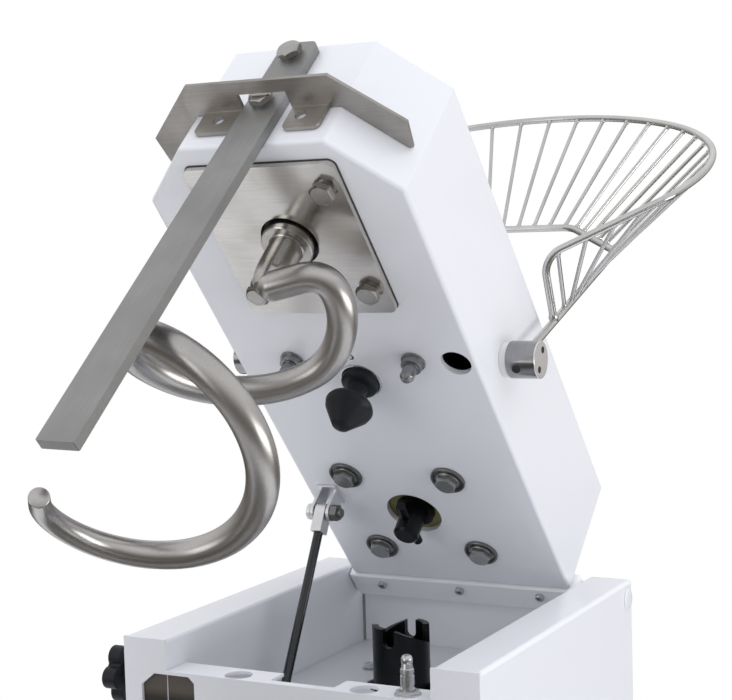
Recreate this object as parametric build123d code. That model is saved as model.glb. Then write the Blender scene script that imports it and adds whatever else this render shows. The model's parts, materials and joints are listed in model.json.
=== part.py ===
from build123d import *
import os
from math import acos, atan2, cos, hypot, pi, radians, sin, tan

# Lift-head spiral dough mixer.  Millimetres.  Depths (y, front is negative) and heights (z) are counted from
# the hinge line; the whole machine is then set on the floor with HINGE_Z.
# Head pieces are drawn with the head shut and then raised, the guard is drawn shut and then flipped back.
HINGE_Z = 640.0
HEAD_RAISE = 48.56
GUARD_FLIP = 113.9
SHEET = 2.5
GAP = 0.3
HOLE_ROOM = 0.2
RUN_FIT = 0.05
SLIP = 0.05

# Head: folded box with a cut-cornered nose.
HEAD_HALF = 107.5
HEAD_NOSE = 528.0
NOSE_CUT_Y = 47.7
NOSE_CUT_X = 47.2
HEAD_UNDER = -9.1
HEAD_TOP = 108.0
HEAD_FLOOR = 5.0
HEAD_BEND = 3.2
HEAD_REAR = -19.5
HINGE_PIN_R, HINGE_BUSH_R = 6.0, 8.0
COVER_T = 2.0

# Spiral, its bearing plate and the drive pin in the head.
SPIRAL_X, SPIRAL_Y, HOOK_X = 0.0, -440.5, -2.0
PLATE_HALF_X, PLATE_FRONT, PLATE_REAR, PLATE_T = 63.0, -512.0, -366.0, 5.0
PLATE_BOLT_X, PLATE_BOLT_Y = 48.0, 49.5
ROD_R, ROD_TIP_R = 11.3, 7.3
HELIX_R, HELIX_SHRINK, HELIX_BOW = 71.3, 10.5, 2.4
HELIX_Z, HELIX_DROP, HELIX_EASE = -93.3, 191.4, 29.4
HELIX_FROM, HELIX_TO, TAPER_FROM = 150.0, 679.0, 535.0
SHAFT_R, SHAFT_LOW = 13.2, -66.0
PIN_X, PIN_Y = -11.4, -115.6
PIN_R, PIN_LOW = 11.0, -35.0
BELT_TURNS_Z = 70.0
SPIRAL_PULLEY_R, PIN_PULLEY_R = 80.0, 45.0

# Column, base and bowl.
BODY_HALF = 152.7
CHEEK_IN = 114.2
CHEEK_TOP = 15.1
BODY_FRONT, BODY_REAR, PANEL_T = -320.0, 13.3, 3.0
LEDGE_Z, LEDGE_REAR = -9.6, -291.5
TRAY_Z = -62.0
BASE_TOP, BASE_LOW, BASE_FRONT = -355.0, -600.0, -680.0
BOWL_Y, BOWL_R, BOWL_WALL = -507.0, 176.0, 2.0
BOWL_RIM_Z, BOWL_FLOOR_Z, BOWL_CORNER = -64.0, -321.0, 45.0
DRIVE_BELT_Z = -530.0
BOWL_PULLEY_R, DRIVE_PULLEY_R = 132.0, 22.0

# Lock, locating studs, switch.
LOCK_Y, LOCK_Z, LOCK_R = -285.5, -25.0, 6.0
STUD_X, STUD_Y = 54.5, -308.0
SWITCH_X, SWITCH_Y = 90.0, -308.0

# Guard: hub line, rail and rim, counted forward (a) and up (b) from the hub line.
HUB_Y, HUB_Z, HUB_R, HUB_IN, HUB_OUT = -268.0, 32.0, 15.0, 113.3, 138.0
HUB_PIN_R = 6.0
RAIL_R, RIM_R, WIRE_R = 3.3, 3.2, 1.75
RAIL_X, RAIL_A, RAIL_CUT_A, RAIL_FRONT_X, RAIL_FALL = 121.0, 242.5, 68.5, 55.6, 1.75
HOOP_R, HOOP_A, HOOP_B, HOOP_ANGLE = 219.6, 214.0, -86.7, 100.0
WIRE_COUNT, WIRE_PITCH, WIRE_CLOSING, RAIL_PITCH = 37, 31.0, 0.12, 16.0

# Gas strut, given in the raised pose.
STRUT_X = -85.0
FORK_U, FORK_W = 138.0, -31.0
ANCHOR_Y, ANCHOR_Z = -277.8, -215.3

BASE_ALIGN = (Align.CENTER, Align.CENTER, Align.MIN)


def bar_x(x0, x1, y, z, r):
    """Round bar along x."""
    return Pos(x0, y, z) * Rot(0, 90, 0) * Cylinder(r, x1 - x0, align=BASE_ALIGN)


def bar_y(x, y0, y1, z, r):
    """Round bar along y."""
    return Pos(x, y0, z) * Rot(-90, 0, 0) * Cylinder(r, y1 - y0, align=BASE_ALIGN)


def bar_z(x, y, z0, z1, r):
    """Round bar along z."""
    return Pos(x, y, z0) * Cylinder(r, z1 - z0, align=BASE_ALIGN)


def ring_z(x, y, z0, z1, r_out, r_in):
    """Round ring standing along z."""
    return bar_z(x, y, z0, z1, r_out) - bar_z(x, y, z0 - 1, z1 + 1, r_in)


def ring_x(x0, x1, y, z, r_out, r_in):
    """Round ring lying along x."""
    return bar_x(x0, x1, y, z, r_out) - bar_x(x0 - 1, x1 + 1, y, z, r_in)


def block(x0, x1, y0, y1, z0, z1):
    """Box between two corners."""
    return Pos((x0 + x1) / 2, (y0 + y1) / 2, (z0 + z1) / 2) * Box(x1 - x0, y1 - y0, z1 - z0)


def plan(points, z0, z1):
    """Outline in plan (x, y) pushed up from z0 to z1."""
    return Pos(0, 0, z0) * extrude(make_face(Polyline(*points, close=True)), z1 - z0, dir=(0, 0, 1))


def side(points, x0, x1):
    """Outline seen from the side (y, z) pushed across from x0 to x1."""
    face = Plane.YZ * make_face(Polyline(*points, close=True))
    return Pos(x0, 0, 0) * extrude(face, x1 - x0, dir=(1, 0, 0))


def front(points, y0, y1):
    """Outline seen from the front (x, z) pushed back from y0 to y1."""
    face = Plane.XZ * make_face(Polyline(*points, close=True))
    return Pos(0, y0, 0) * extrude(face, y1 - y0, dir=(0, 1, 0))


def turned(x, y, points):
    """Outline (radius, height) turned about an upright line at x, y."""
    face = Plane.XZ * make_face(Polyline(*points, close=True))
    return Pos(x, y, 0) * revolve(face, Axis.Z)


def hexagon(across_flats, height):
    """Hexagon prism standing on z = 0."""
    return extrude(RegularPolygon(across_flats / 2, 6, major_radius=False), height, dir=(0, 0, 1))


def stick(p, q, r):
    """Round rod between two points in space."""
    p, q = Vector(*p), Vector(*q)
    return Plane(origin=p, z_dir=(q - p).normalized()) * Cylinder(r, (q - p).length, align=BASE_ALIGN)


def bent_path(points, radius=None):
    """Straight runs joined by tangent arcs through corners; without a radius the arcs are as large as fit."""
    pts = [Vector(*p) for p in points]
    edges = []
    start = pts[0]
    for before, corner, after in zip(pts, pts[1:], pts[2:]):
        d1 = (corner - before).normalized()
        d2 = (after - corner).normalized()
        turn = acos(max(-1.0, min(1.0, d1.dot(d2))))
        largest = 0.47 * min((corner - before).length, (after - corner).length) / tan(turn / 2)
        bend = largest if radius is None else radius
        trim = bend * tan(turn / 2)
        a = corner - d1 * trim
        b = corner + d2 * trim
        inward = (d2 - d1).normalized()
        centre = corner + inward * (bend / cos(turn / 2))
        edges.append(Line(start, a))
        edges.append(ThreePointArc(a, centre - inward * bend, b))
        start = b
    edges.append(Line(start, pts[-1]))
    return edges


def tube(edges, r):
    """Round wire swept along joined edges."""
    path = Wire([e.edge() if hasattr(e, "edge") else e for e in edges])
    profile = Plane(origin=path @ 0, z_dir=path % 0) * Circle(r)
    return sweep(profile, path=path)


def loop(c1, r1, c2, r2, z0, z1):
    """Two discs joined by their outer tangents."""
    dx, dy = c2[0] - c1[0], c2[1] - c1[1]
    base = atan2(dy, dx)
    lean = acos((r1 - r2) / hypot(dx, dy))
    corners = []
    for s, order in ((1, (0, 1)), (-1, (1, 0))):
        a = base + s * lean
        ends = ((c1[0] + r1 * cos(a), c1[1] + r1 * sin(a)), (c2[0] + r2 * cos(a), c2[1] + r2 * sin(a)))
        corners += [ends[i] for i in order]
    return bar_z(*c1, z0, z1, r1) + bar_z(*c2, z0, z1, r2) + plan(corners, z0, z1)


def belt(c1, r1, c2, r2, thick, z0, z1):
    """Endless belt round two pulleys."""
    return loop(c1, r1 + thick, c2, r2 + thick, z0, z1) - loop(c1, r1, c2, r2, z0 - 1, z1 + 1)


PULLEY_HALF, GROOVE_HALF, GROOVE_DEEP = 11.0, 7.0, 6.0


def pulley(x, y, z, r, bore):
    """Flat-belt pulley with a flange on each side of its groove."""
    low, high = z - PULLEY_HALF, z + PULLEY_HALF
    groove_low, groove_high, groove_r = z - GROOVE_HALF, z + GROOVE_HALF, r - GROOVE_DEEP
    profile = [(bore, low), (r, low), (r, groove_low), (groove_r, groove_low), (groove_r, groove_high),
               (r, groove_high), (r, high), (bore, high)]
    return turned(x, y, profile)


# Head shell.
def head_outline(inset):
    """Plan outline of the head, moved inward by inset."""
    half = HEAD_HALF - inset
    nose = -HEAD_NOSE + inset
    nose_half = HEAD_HALF - NOSE_CUT_X - inset * 0.42
    cut = -HEAD_NOSE + NOSE_CUT_Y + inset * 0.42
    return [(-half, 60.0), (-half, cut), (-nose_half, nose), (nose_half, nose), (half, cut), (half, 60.0)]


def head_body(inset, floor, bend):
    """Closed head volume with rounded folds."""
    low, high = HEAD_UNDER + floor, HEAD_TOP - inset
    rear = HEAD_REAR - inset
    profile = [(-HEAD_NOSE - 5, low), (rear, low), (rear, high), (-HEAD_NOSE - 5, high)]
    body = plan(head_outline(inset), low - 1, high + 1) & side(profile, -HEAD_HALF - 5, HEAD_HALF + 5)
    return fillet(body.edges(), bend)


plate_bolts = [(sx * PLATE_BOLT_X, -439.0 + sy * PLATE_BOLT_Y) for sx in (-1, 1) for sy in (-1, 1)]
pin_bolts = [(x, y) for x in (-60.0, 37.1) for y in (-164.8, -66.5)]
nose_bolts = [(-1.6, 31.1), (-0.5, 86.3)]
BOLT_R, BOLT_FLATS, BOLT_HEAD = 5.0, 17.0, 6.5

head_shell = head_body(0, 0, HEAD_BEND) - head_body(SHEET, HEAD_FLOOR, HEAD_BEND - SHEET)
head_shell -= plan(head_outline(18), HEAD_TOP - 20, HEAD_TOP + 5) & block(-200, 200, -600, -45, 0, 200)
head_shell -= bar_z(SPIRAL_X, SPIRAL_Y, HEAD_UNDER - 1, 0, 30)
head_shell -= bar_z(PIN_X, PIN_Y, HEAD_UNDER - 1, 0, 25)
head_shell -= bar_z(SWITCH_X, SWITCH_Y + 2, HEAD_UNDER - 1, 0, 12.5)
for x, y in plate_bolts + pin_bolts:
    head_shell -= bar_z(x, y, HEAD_UNDER - 1, 0, BOLT_R + HOLE_ROOM)
for x, z in nose_bolts:
    head_shell -= bar_y(x, -HEAD_NOSE - 1, -HEAD_NOSE + 6, z, BOLT_R + HOLE_ROOM)
head_shell -= bar_x(-HEAD_HALF - 1, HEAD_HALF + 1, HUB_Y, HUB_Z, HUB_PIN_R + SLIP)

head_top_cover = plan(head_outline(4), HEAD_TOP, HEAD_TOP + COVER_T) & block(-200, 200, -600, -24, 0, 200)

# Rear flange: a square tube across the back of the head that turns on the hinge pins.
FLANGE_HALF, FLANGE_BACK, FLANGE_TOP, FLANGE_BEND = 107.3, 10.6, 9.5, 2.0
FLANGE_LOW = HEAD_UNDER - SHEET
beam = block(-FLANGE_HALF, FLANGE_HALF, HEAD_REAR, FLANGE_BACK, FLANGE_LOW, FLANGE_TOP)
beam = fillet(beam.edges().filter_by(Axis.X), FLANGE_BEND)
beam -= block(-FLANGE_HALF + SHEET, FLANGE_HALF - SHEET, HEAD_REAR + SHEET, FLANGE_BACK - SHEET,
              FLANGE_LOW + SHEET, FLANGE_TOP - SHEET)
rear_flange = beam - bar_x(-FLANGE_HALF - 1, FLANGE_HALF + 1, 0, 0, HINGE_BUSH_R + SLIP)

# Hinge pins in the cheeks, bushes in the ends of the rear flange.
HINGE_PIN_IN, BUSH_IN, BUSH_OUT = 108.0, 103.2, 113.6
bush = ring_x(BUSH_IN, BUSH_OUT, 0, 0, HINGE_BUSH_R, HINGE_PIN_R + RUN_FIT)
pivot_bushes = Compound([bush, mirror(bush, Plane.YZ)])
cap = turned(0, 0, [(0, 0), (9.5, 0), (9.5, 0.8), (8, 1.8), (0, 2.2)])
pin = bar_x(HINGE_PIN_IN, BODY_HALF, 0, 0, HINGE_PIN_R) + Pos(BODY_HALF, 0, 0) * Rot(0, 90, 0) * cap
pivot_pins = Compound([pin, mirror(pin, Plane.YZ)])

# Bearing plate and the ten hexagon bolts.
bearing_plate = block(-PLATE_HALF_X, PLATE_HALF_X, PLATE_FRONT, PLATE_REAR, HEAD_UNDER - PLATE_T, HEAD_UNDER)
bearing_plate = fillet(bearing_plate.edges().filter_by(Axis.Z), 6)
bearing_plate -= bar_z(SPIRAL_X, SPIRAL_Y, HEAD_UNDER - 10, HEAD_UNDER + 1, 23)
for x, y in plate_bolts:
    bearing_plate -= bar_z(x, y, HEAD_UNDER - 10, HEAD_UNDER + 1, BOLT_R + HOLE_ROOM)


def hex_bolt(reach):
    """Bolt with its head below z = 0 and its shank up to reach."""
    return Pos(0, 0, -BOLT_HEAD) * hexagon(BOLT_FLATS, BOLT_HEAD) + bar_z(0, 0, 0, reach, BOLT_R)


WASHER_T, WASHER_R = 2.5, 15.0
bolts = [Pos(x, y, HEAD_UNDER - PLATE_T) * hex_bolt(14) for x, y in plate_bolts]
bolts += [Pos(x, y, HEAD_UNDER - WASHER_T) * hex_bolt(12) for x, y in pin_bolts]
BAR_T = 8.0
bolts += [Pos(x, -HEAD_NOSE - BAR_T, z) * Rot(-90, 0, 0) * hex_bolt(18) for x, z in nose_bolts]
hex_bolts = Compound(bolts)
bolt_washers = Compound([ring_z(x, y, HEAD_UNDER - WASHER_T, HEAD_UNDER, WASHER_R, BOLT_R + HOLE_ROOM)
                         for x, y in pin_bolts])

# Breaker bar on the nose, leaning a little to the left at its end.
BAR_HALF, BAR_TOP, BAR_LOW, BAR_LEAN, BAR_SHIFT = 15.0, 102.0, -295.5, 1.4, 0.4
BAR_TIP_BEND, BAR_TOP_BEND, BAR_TURN_Z = 1.2, 6.0, 62.0
bar_outline = [(-BAR_HALF, BAR_LOW), (BAR_HALF, BAR_LOW), (BAR_HALF, BAR_TOP), (-BAR_HALF, BAR_TOP)]
breaker_bar = front(bar_outline, -HEAD_NOSE - BAR_T, -HEAD_NOSE)
breaker_bar = fillet(breaker_bar.edges().filter_by(Axis.Y).sort_by(Axis.Z)[-2:], BAR_TOP_BEND)
breaker_bar = fillet(breaker_bar.edges().filter_by(Axis.Y).sort_by(Axis.Z)[:2], BAR_TIP_BEND)
breaker_bar = breaker_bar.rotate(Axis((0, 0, BAR_TURN_Z), (0, 1, 0)), BAR_LEAN)
breaker_bar = Pos(BAR_SHIFT, 0, 0) * breaker_bar
for x, z in nose_bolts:
    breaker_bar -= bar_y(x, -HEAD_NOSE - BAR_T - 1, -HEAD_NOSE + 1, z, BOLT_R + HOLE_ROOM)

# Nose bracket: shelf round the nose with two tabs folded down on the front face.
SHELF_Z, SHELF_T = 28.5, 3.0
CLEAR = 0.2
shelf_outer = [(-103.5, -488), (-106.5, -511), (-59, -556), (59, -556), (106.5, -511), (103.5, -488)]
shelf_inner = [(100.2, -488), (60.4, -HEAD_NOSE - CLEAR), (-60.4, -HEAD_NOSE - CLEAR), (-100.2, -488)]
nose_bracket = plan(shelf_outer + shelf_inner, SHELF_Z, SHELF_Z + SHELF_T)
nose_bracket -= block(-18.6, 21.6, -545, -520, SHELF_Z - 1, SHELF_Z + SHELF_T + 1)
for x0, x1, hole in ((22.2, 52.0, 33.0), (-52.0, -19.0, -36.0)):
    tab = block(x0, x1, -HEAD_NOSE - CLEAR - 3, -HEAD_NOSE - CLEAR, 4, SHELF_Z + SHELF_T)
    tab = fillet(tab.edges().filter_by(Axis.Y).sort_by(Axis.Z)[:2], 5)
    nose_bracket += tab - bar_y(hole, -HEAD_NOSE - 10, -HEAD_NOSE, 18.5, 4.5)

# Spiral: shaft, hook and pulley.
COLLAR_R, COLLAR_LOW, COLLAR_TOP, SHAFT_TOP = 20.5, -19.5, 24.0, 88.0
SHAFT_NECK_R, SHAFT_NECK_Z = 8.0, -59.0
shaft_outline = [(0, SHAFT_LOW), (SHAFT_NECK_R, SHAFT_LOW), (SHAFT_R, SHAFT_NECK_Z), (SHAFT_R, COLLAR_LOW),
                 (COLLAR_R, COLLAR_LOW), (COLLAR_R, COLLAR_TOP), (SHAFT_R, COLLAR_TOP), (SHAFT_R, SHAFT_TOP),
                 (0, SHAFT_TOP)]
spiral_shaft = turned(SPIRAL_X, SPIRAL_Y, shaft_outline)
KEY_ANGLE, KEY_HALF, KEY_DEEP, KEY_LOW, KEY_TOP = 34.0, 4.0, 3.2, -48.0, -21.0
key_cut = block(-KEY_HALF, KEY_HALF, -SHAFT_R - 2, -SHAFT_R + KEY_DEEP, KEY_LOW, KEY_TOP)
spiral_shaft -= Pos(SPIRAL_X, SPIRAL_Y, 0) * Rot(0, 0, KEY_ANGLE) * key_cut


def hook_point(angle, r, z):
    """Point about the spiral's axis; the angle is counted from the nose towards the right."""
    t = radians(angle)
    return (HOOK_X + r * sin(t), SPIRAL_Y - r * cos(t), z)


# The rod leaves the shaft's end, bends over into the helix and thins towards its tip.
LEAD_ANGLE, LEAD_R, LEAD_Z, LEAD_END_R, LEAD_END_Z = 85.2, 10.0, -62.0, 49.2, -52.0
ELBOW_ANGLE, ELBOW_R, ELBOW_Z = 116.7, 64.5, -63.6
hook_line = [hook_point(LEAD_ANGLE, LEAD_R, LEAD_Z), hook_point(LEAD_ANGLE, LEAD_END_R, LEAD_END_Z),
             hook_point(ELBOW_ANGLE, ELBOW_R, ELBOW_Z)]
HOOK_STEPS = 19
HOOK_STEP = (HELIX_TO - HELIX_FROM) / HOOK_STEPS
CORNER_OUT = 1 / cos(radians(HOOK_STEP / 2))
for i in range(HOOK_STEPS + 1):
    angle = HELIX_FROM + HOOK_STEP * i
    turns = (angle - 180.0) / 360.0
    hook_r = (HELIX_R - HELIX_SHRINK * turns + HELIX_BOW * turns * turns) * CORNER_OUT
    hook_line.append(hook_point(angle, hook_r, HELIX_Z - HELIX_DROP * turns + HELIX_EASE * turns * turns))
hook_edges = [e.edge() for e in bent_path(hook_line)]
full_corners = 2 + int((TAPER_FROM - HELIX_FROM) / HOOK_STEP)
full_edges = hook_edges[:2 * full_corners]
taper_path = Wire(hook_edges[2 * full_corners:])
TAPER_STEPS = 12
taper_rings = []
for i in range(TAPER_STEPS + 1):
    part = i / TAPER_STEPS
    ahead = taper_path % part
    upward = Vector(0, 0, 1) - ahead * ahead.Z
    ring_plane = Plane(origin=taper_path @ part, x_dir=upward, z_dir=ahead)
    taper_rings.append(ring_plane * Circle(ROD_R + (ROD_TIP_R - ROD_R) * part))
spiral_hook = tube(full_edges, ROD_R) + loft([ring.face() for ring in taper_rings])
spiral_hook += Pos(*hook_line[0]) * Sphere(ROD_R)
spiral_hook -= spiral_shaft
spiral_pulley = pulley(SPIRAL_X, SPIRAL_Y, BELT_TURNS_Z, SPIRAL_PULLEY_R, SHAFT_R + SLIP)
spiral_bearing = ring_z(SPIRAL_X, SPIRAL_Y, HEAD_UNDER + HEAD_FLOOR, 20, 42, COLLAR_R + RUN_FIT)

# Drive pin in the head with its cross pin.
PIN_COLLAR_R, PIN_CHAMFER = 17.0, 2.0
CROSS_Z, CROSS_R, CROSS_HALF = -21.0, 4.0, 24.0
pin_outline = [(0, PIN_LOW), (PIN_R - PIN_CHAMFER, PIN_LOW), (PIN_R, PIN_LOW + PIN_CHAMFER),
               (PIN_R, HEAD_UNDER + 1), (PIN_COLLAR_R, HEAD_UNDER + 1), (PIN_COLLAR_R, COLLAR_TOP),
               (PIN_R, COLLAR_TOP), (PIN_R, SHAFT_TOP), (0, SHAFT_TOP)]
pin_shaft = turned(PIN_X, PIN_Y, pin_outline)
pin_shaft -= bar_y(PIN_X, PIN_Y - 40, PIN_Y + 40, CROSS_Z, CROSS_R + SLIP)
cross_pin = bar_y(PIN_X, PIN_Y - CROSS_HALF, PIN_Y + CROSS_HALF, CROSS_Z, CROSS_R)
pin_pulley = pulley(PIN_X, PIN_Y, BELT_TURNS_Z, PIN_PULLEY_R, PIN_R + SLIP)
pin_bearing = ring_z(PIN_X, PIN_Y, HEAD_UNDER + HEAD_FLOOR, 20, 34, PIN_COLLAR_R + RUN_FIT)
BELT_T, BELT_HALF, BELT_GAP = 8.0, 6.0, 0.4
BELT_SEAT = GROOVE_DEEP - BELT_GAP
head_belt = belt((SPIRAL_X, SPIRAL_Y), SPIRAL_PULLEY_R - BELT_SEAT, (PIN_X, PIN_Y), PIN_PULLEY_R - BELT_SEAT,
                 BELT_T, BELT_TURNS_Z - BELT_HALF, BELT_TURNS_Z + BELT_HALF)

# Lock mushroom, locating studs and switch striker under the head.
MUSHROOM_R, MUSHROOM_TIP = 20.0, -61.0
mushroom_outline = [(0, HEAD_UNDER), (16.4, HEAD_UNDER), (16.4, -11), (15.2, -11), (15.2, -15), (12.5, -17), (8.5, -18),
                    (8.5, -31.8), (14, -32.4), (18.4, -34.5), (MUSHROOM_R, -38), (18.6, -42.5), (9.6, -55.4),
                    (7.2, -58.8), (3.6, -60.6), (0, MUSHROOM_TIP)]
lock_mushroom = turned(0, LOCK_Y, mushroom_outline)
STUD_COLLAR_R, STUD_COLLAR_LOW, STUD_R, STUD_TIP = 10.0, -16.3, 5.7, -30.5


def stud(x):
    """Locating stud: thin washer, collar and round-ended pin."""
    collar_r, washer_low = STUD_COLLAR_R - 1.5, HEAD_UNDER - 2
    outline = [(0, STUD_TIP), (3.4, STUD_TIP + 0.6), (STUD_R, STUD_TIP + 4), (STUD_R, STUD_COLLAR_LOW),
               (collar_r, STUD_COLLAR_LOW), (collar_r, washer_low), (STUD_COLLAR_R, washer_low),
               (STUD_COLLAR_R, HEAD_UNDER), (0, HEAD_UNDER)]
    return turned(x, STUD_Y, outline)


locating_studs = Compound([stud(-STUD_X), stud(STUD_X)])
STRIKER_Z = 21.0
STRIKER_IN, STRIKER_OUT, STRIKER_T = 70.0, 102.0, 2.0
STRIKER_FRONT, STRIKER_REAR = SWITCH_Y - 14.0, SWITCH_Y + 18.0
switch_striker = block(STRIKER_IN, STRIKER_OUT, STRIKER_FRONT, STRIKER_REAR, STRIKER_Z, STRIKER_Z + STRIKER_T)
switch_striker += block(STRIKER_IN, STRIKER_IN + STRIKER_T, STRIKER_FRONT, STRIKER_REAR,
                        HEAD_UNDER + HEAD_FLOOR, STRIKER_Z)


def guard_at(a, x, b):
    """Point counted forward and up from the guard's hub line."""
    return (x, HUB_Y - a, HUB_Z + b)


# Guard hubs on fixed pins in the head sides.
hub = bar_x(HUB_IN, HUB_OUT, HUB_Y, HUB_Z, HUB_R)
hub -= bar_x(HUB_IN - 1, HUB_OUT - 4, HUB_Y, HUB_Z, HUB_PIN_R + RUN_FIT)
fall = tan(radians(RAIL_FALL))
hub -= stick(guard_at(9, RAIL_X, -9 * fall), guard_at(30, RAIL_X, -30 * fall), RAIL_R + SLIP)
hub_washer = ring_x(HEAD_HALF, HUB_IN - GAP, HUB_Y, HUB_Z, 14, HUB_PIN_R + SLIP)
hub_pin = bar_x(100, HUB_OUT - 5, HUB_Y, HUB_Z, HUB_PIN_R) + bar_x(100, HEAD_HALF - SHEET, HUB_Y, HUB_Z, 10)
guard_hubs = Compound([hub, mirror(hub, Plane.YZ)])
hub_washers = Compound([hub_washer, mirror(hub_washer, Plane.YZ)])
hub_pins = Compound([hub_pin, mirror(hub_pin, Plane.YZ)])


# Guard rail: two arms, two cut corners and the front run, all in one plane that falls a little forward.
rail_front_a = RAIL_A + RAIL_CUT_A
RAIL_START, RAIL_BEND = 9.3, 24.0
rail_corners = [(RAIL_START, -RAIL_X), (RAIL_A, -RAIL_X), (rail_front_a, -RAIL_FRONT_X),
                (rail_front_a, RAIL_FRONT_X), (RAIL_A, RAIL_X), (RAIL_START, RAIL_X)]
guard_rail = tube(bent_path([guard_at(a, x, -fall * a) for a, x in rail_corners], RAIL_BEND), RAIL_R)

# Guard rim: round hoop in front, straight tails, and risers that are welded to the arms.
end_angle = radians(HOOP_ANGLE)
hoop_end = (HOOP_A + HOOP_R * cos(end_angle), HOOP_R * sin(end_angle))
TAIL_A, LOW_A, LOW_B, RISE_A = 145.0, 74.0, -60.0, 78.0
TAIL_X = hoop_end[1] + (hoop_end[0] - TAIL_A) / tan(end_angle)
TAIL_BEND = 20.0


def rim_tail(sign):
    """Corners from the hoop's end to the arm on one side."""
    return [guard_at(hoop_end[0], sign * hoop_end[1], HOOP_B), guard_at(TAIL_A, sign * TAIL_X, HOOP_B),
            guard_at(LOW_A, sign * RAIL_X, LOW_B), guard_at(RISE_A, sign * RAIL_X, -fall * RISE_A - 1.0)]


hoop = ThreePointArc(guard_at(hoop_end[0], -hoop_end[1], HOOP_B), guard_at(HOOP_A + HOOP_R, 0, HOOP_B),
                     guard_at(hoop_end[0], hoop_end[1], HOOP_B))
left_tail = bent_path(rim_tail(-1)[::-1], TAIL_BEND)
guard_rim = tube(left_tail + [hoop] + bent_path(rim_tail(1), TAIL_BEND), RIM_R)


def along(points, s):
    """Point at distance s along a line of corners."""
    for p, q in zip(points, points[1:]):
        p, q = Vector(*p), Vector(*q)
        run = (q - p).length
        if s <= run:
            return p + (q - p) * (s / run)
        s -= run
    return Vector(*points[-1])


def rim_at(s, sign):
    """Point on the rim at distance s from the front centre."""
    if s <= HOOP_R * end_angle:
        t = s / HOOP_R
        return Vector(*guard_at(HOOP_A + HOOP_R * cos(t), sign * HOOP_R * sin(t), HOOP_B))
    return along(rim_tail(sign), s - HOOP_R * end_angle)


def rail_at(s, sign):
    """Point on the rail at distance s from the front centre."""
    corners = [(rail_front_a, 0.0), (rail_front_a, sign * RAIL_FRONT_X), (RAIL_A, sign * RAIL_X),
               (LOW_A, sign * RAIL_X)]
    return along([guard_at(a, x, -fall * a) for a, x in corners], s)


wires = []
for i in range(-(WIRE_COUNT // 2), WIRE_COUNT // 2 + 1):
    sign = 1 if i >= 0 else -1
    step = abs(i)
    rim_run = WIRE_PITCH * step - WIRE_CLOSING * step * step
    wires.append(stick(rail_at(RAIL_PITCH * step, sign), rim_at(rim_run, sign), WIRE_R))
guard_wires = Compound(wires)

# Cheeks: folded boxes, open at the front behind the panel.
PANEL_BACK = BODY_FRONT + PANEL_T
right_cheek = block(CHEEK_IN, BODY_HALF, PANEL_BACK, BODY_REAR, BASE_TOP, CHEEK_TOP)
top_edges = [e for e in right_cheek.edges() if e.center().Z > CHEEK_TOP - 1]
outer_folds = [e for e in top_edges if e.center().Y > PANEL_BACK + 1]
outer_folds += [e for e in right_cheek.edges().filter_by(Axis.Z) if e.center().Y > 0]
right_cheek = fillet(outer_folds, 3.5)
right_cheek -= block(CHEEK_IN + SHEET, BODY_HALF - SHEET, BODY_FRONT, BODY_REAR - SHEET, BASE_TOP - 1,
                     CHEEK_TOP - SHEET)
right_cheek -= bar_x(CHEEK_IN - 1, BODY_HALF + 1, 0, 0, HINGE_PIN_R + SLIP)
left_cheek = mirror(right_cheek, Plane.YZ)
left_cheek -= bar_x(-BODY_HALF - 1, -CHEEK_IN + 1, LOCK_Y, LOCK_Z, LOCK_R + GAP)
BUTTON_R, BUTTON_ROOM, BUTTON_Z = 11.0, 0.6, -215.0
START_Y, STOP_Y = -205.0, -150.0
for y in (START_Y, STOP_Y):
    right_cheek -= bar_x(BODY_HALF - 10, BODY_HALF + 10, y, BUTTON_Z, BUTTON_R + BUTTON_ROOM)

# Front panel with its two windows and the ledge folded back under the head.
panel_outline = [(-BODY_HALF, BASE_TOP), (BODY_HALF, BASE_TOP), (BODY_HALF, CHEEK_TOP), (CHEEK_IN, CHEEK_TOP),
                 (CHEEK_IN, LEDGE_Z), (-CHEEK_IN, LEDGE_Z), (-CHEEK_IN, CHEEK_TOP), (-BODY_HALF, CHEEK_TOP)]
front_panel = front(panel_outline, BODY_FRONT, PANEL_BACK)
for s in (-1, 1):
    window = [(s * 88, -80), (s * 137, -80), (s * 137, -22), (s * 125, -12.3), (s * 93, -12.3), (s * 88, -17)]
    front_panel -= front(window, BODY_FRONT - 1, PANEL_BACK + 1)
ledge = block(-CHEEK_IN + GAP, CHEEK_IN - GAP, PANEL_BACK, LEDGE_REAR, LEDGE_Z - SHEET, LEDGE_Z)
ledge -= block(-24, 31, -312, LEDGE_REAR + 1, LEDGE_Z - 5, LEDGE_Z + 1)
ledge -= bar_z(SWITCH_X, SWITCH_Y, LEDGE_Z - 5, LEDGE_Z + 1, 8.0)
front_panel += ledge
for x in (-STUD_X, STUD_X):
    front_panel -= bar_z(x, STUD_Y, STUD_COLLAR_LOW - 2, LEDGE_Z + 1, STUD_COLLAR_R + 1)

# Recess floor and rear panel.
recess_tray = block(-CHEEK_IN + GAP, CHEEK_IN - GAP, PANEL_BACK + GAP, 10.4, TRAY_Z - SHEET, TRAY_Z)
recess_tray -= bar_z(PIN_X, PIN_Y, TRAY_Z - 5, TRAY_Z + 1, 31)
STRUT_SLOT_HALF, STRUT_SLOT_FRONT, STRUT_SLOT_REAR = 14.5, -226.0, -151.0
recess_tray -= block(STRUT_X - STRUT_SLOT_HALF, STRUT_X + STRUT_SLOT_HALF, STRUT_SLOT_FRONT, STRUT_SLOT_REAR,
                     TRAY_Z - 5, TRAY_Z + 1)
rear_panel = block(-CHEEK_IN + GAP, CHEEK_IN - GAP, BODY_REAR - SHEET, BODY_REAR, BASE_TOP, -16)

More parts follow.
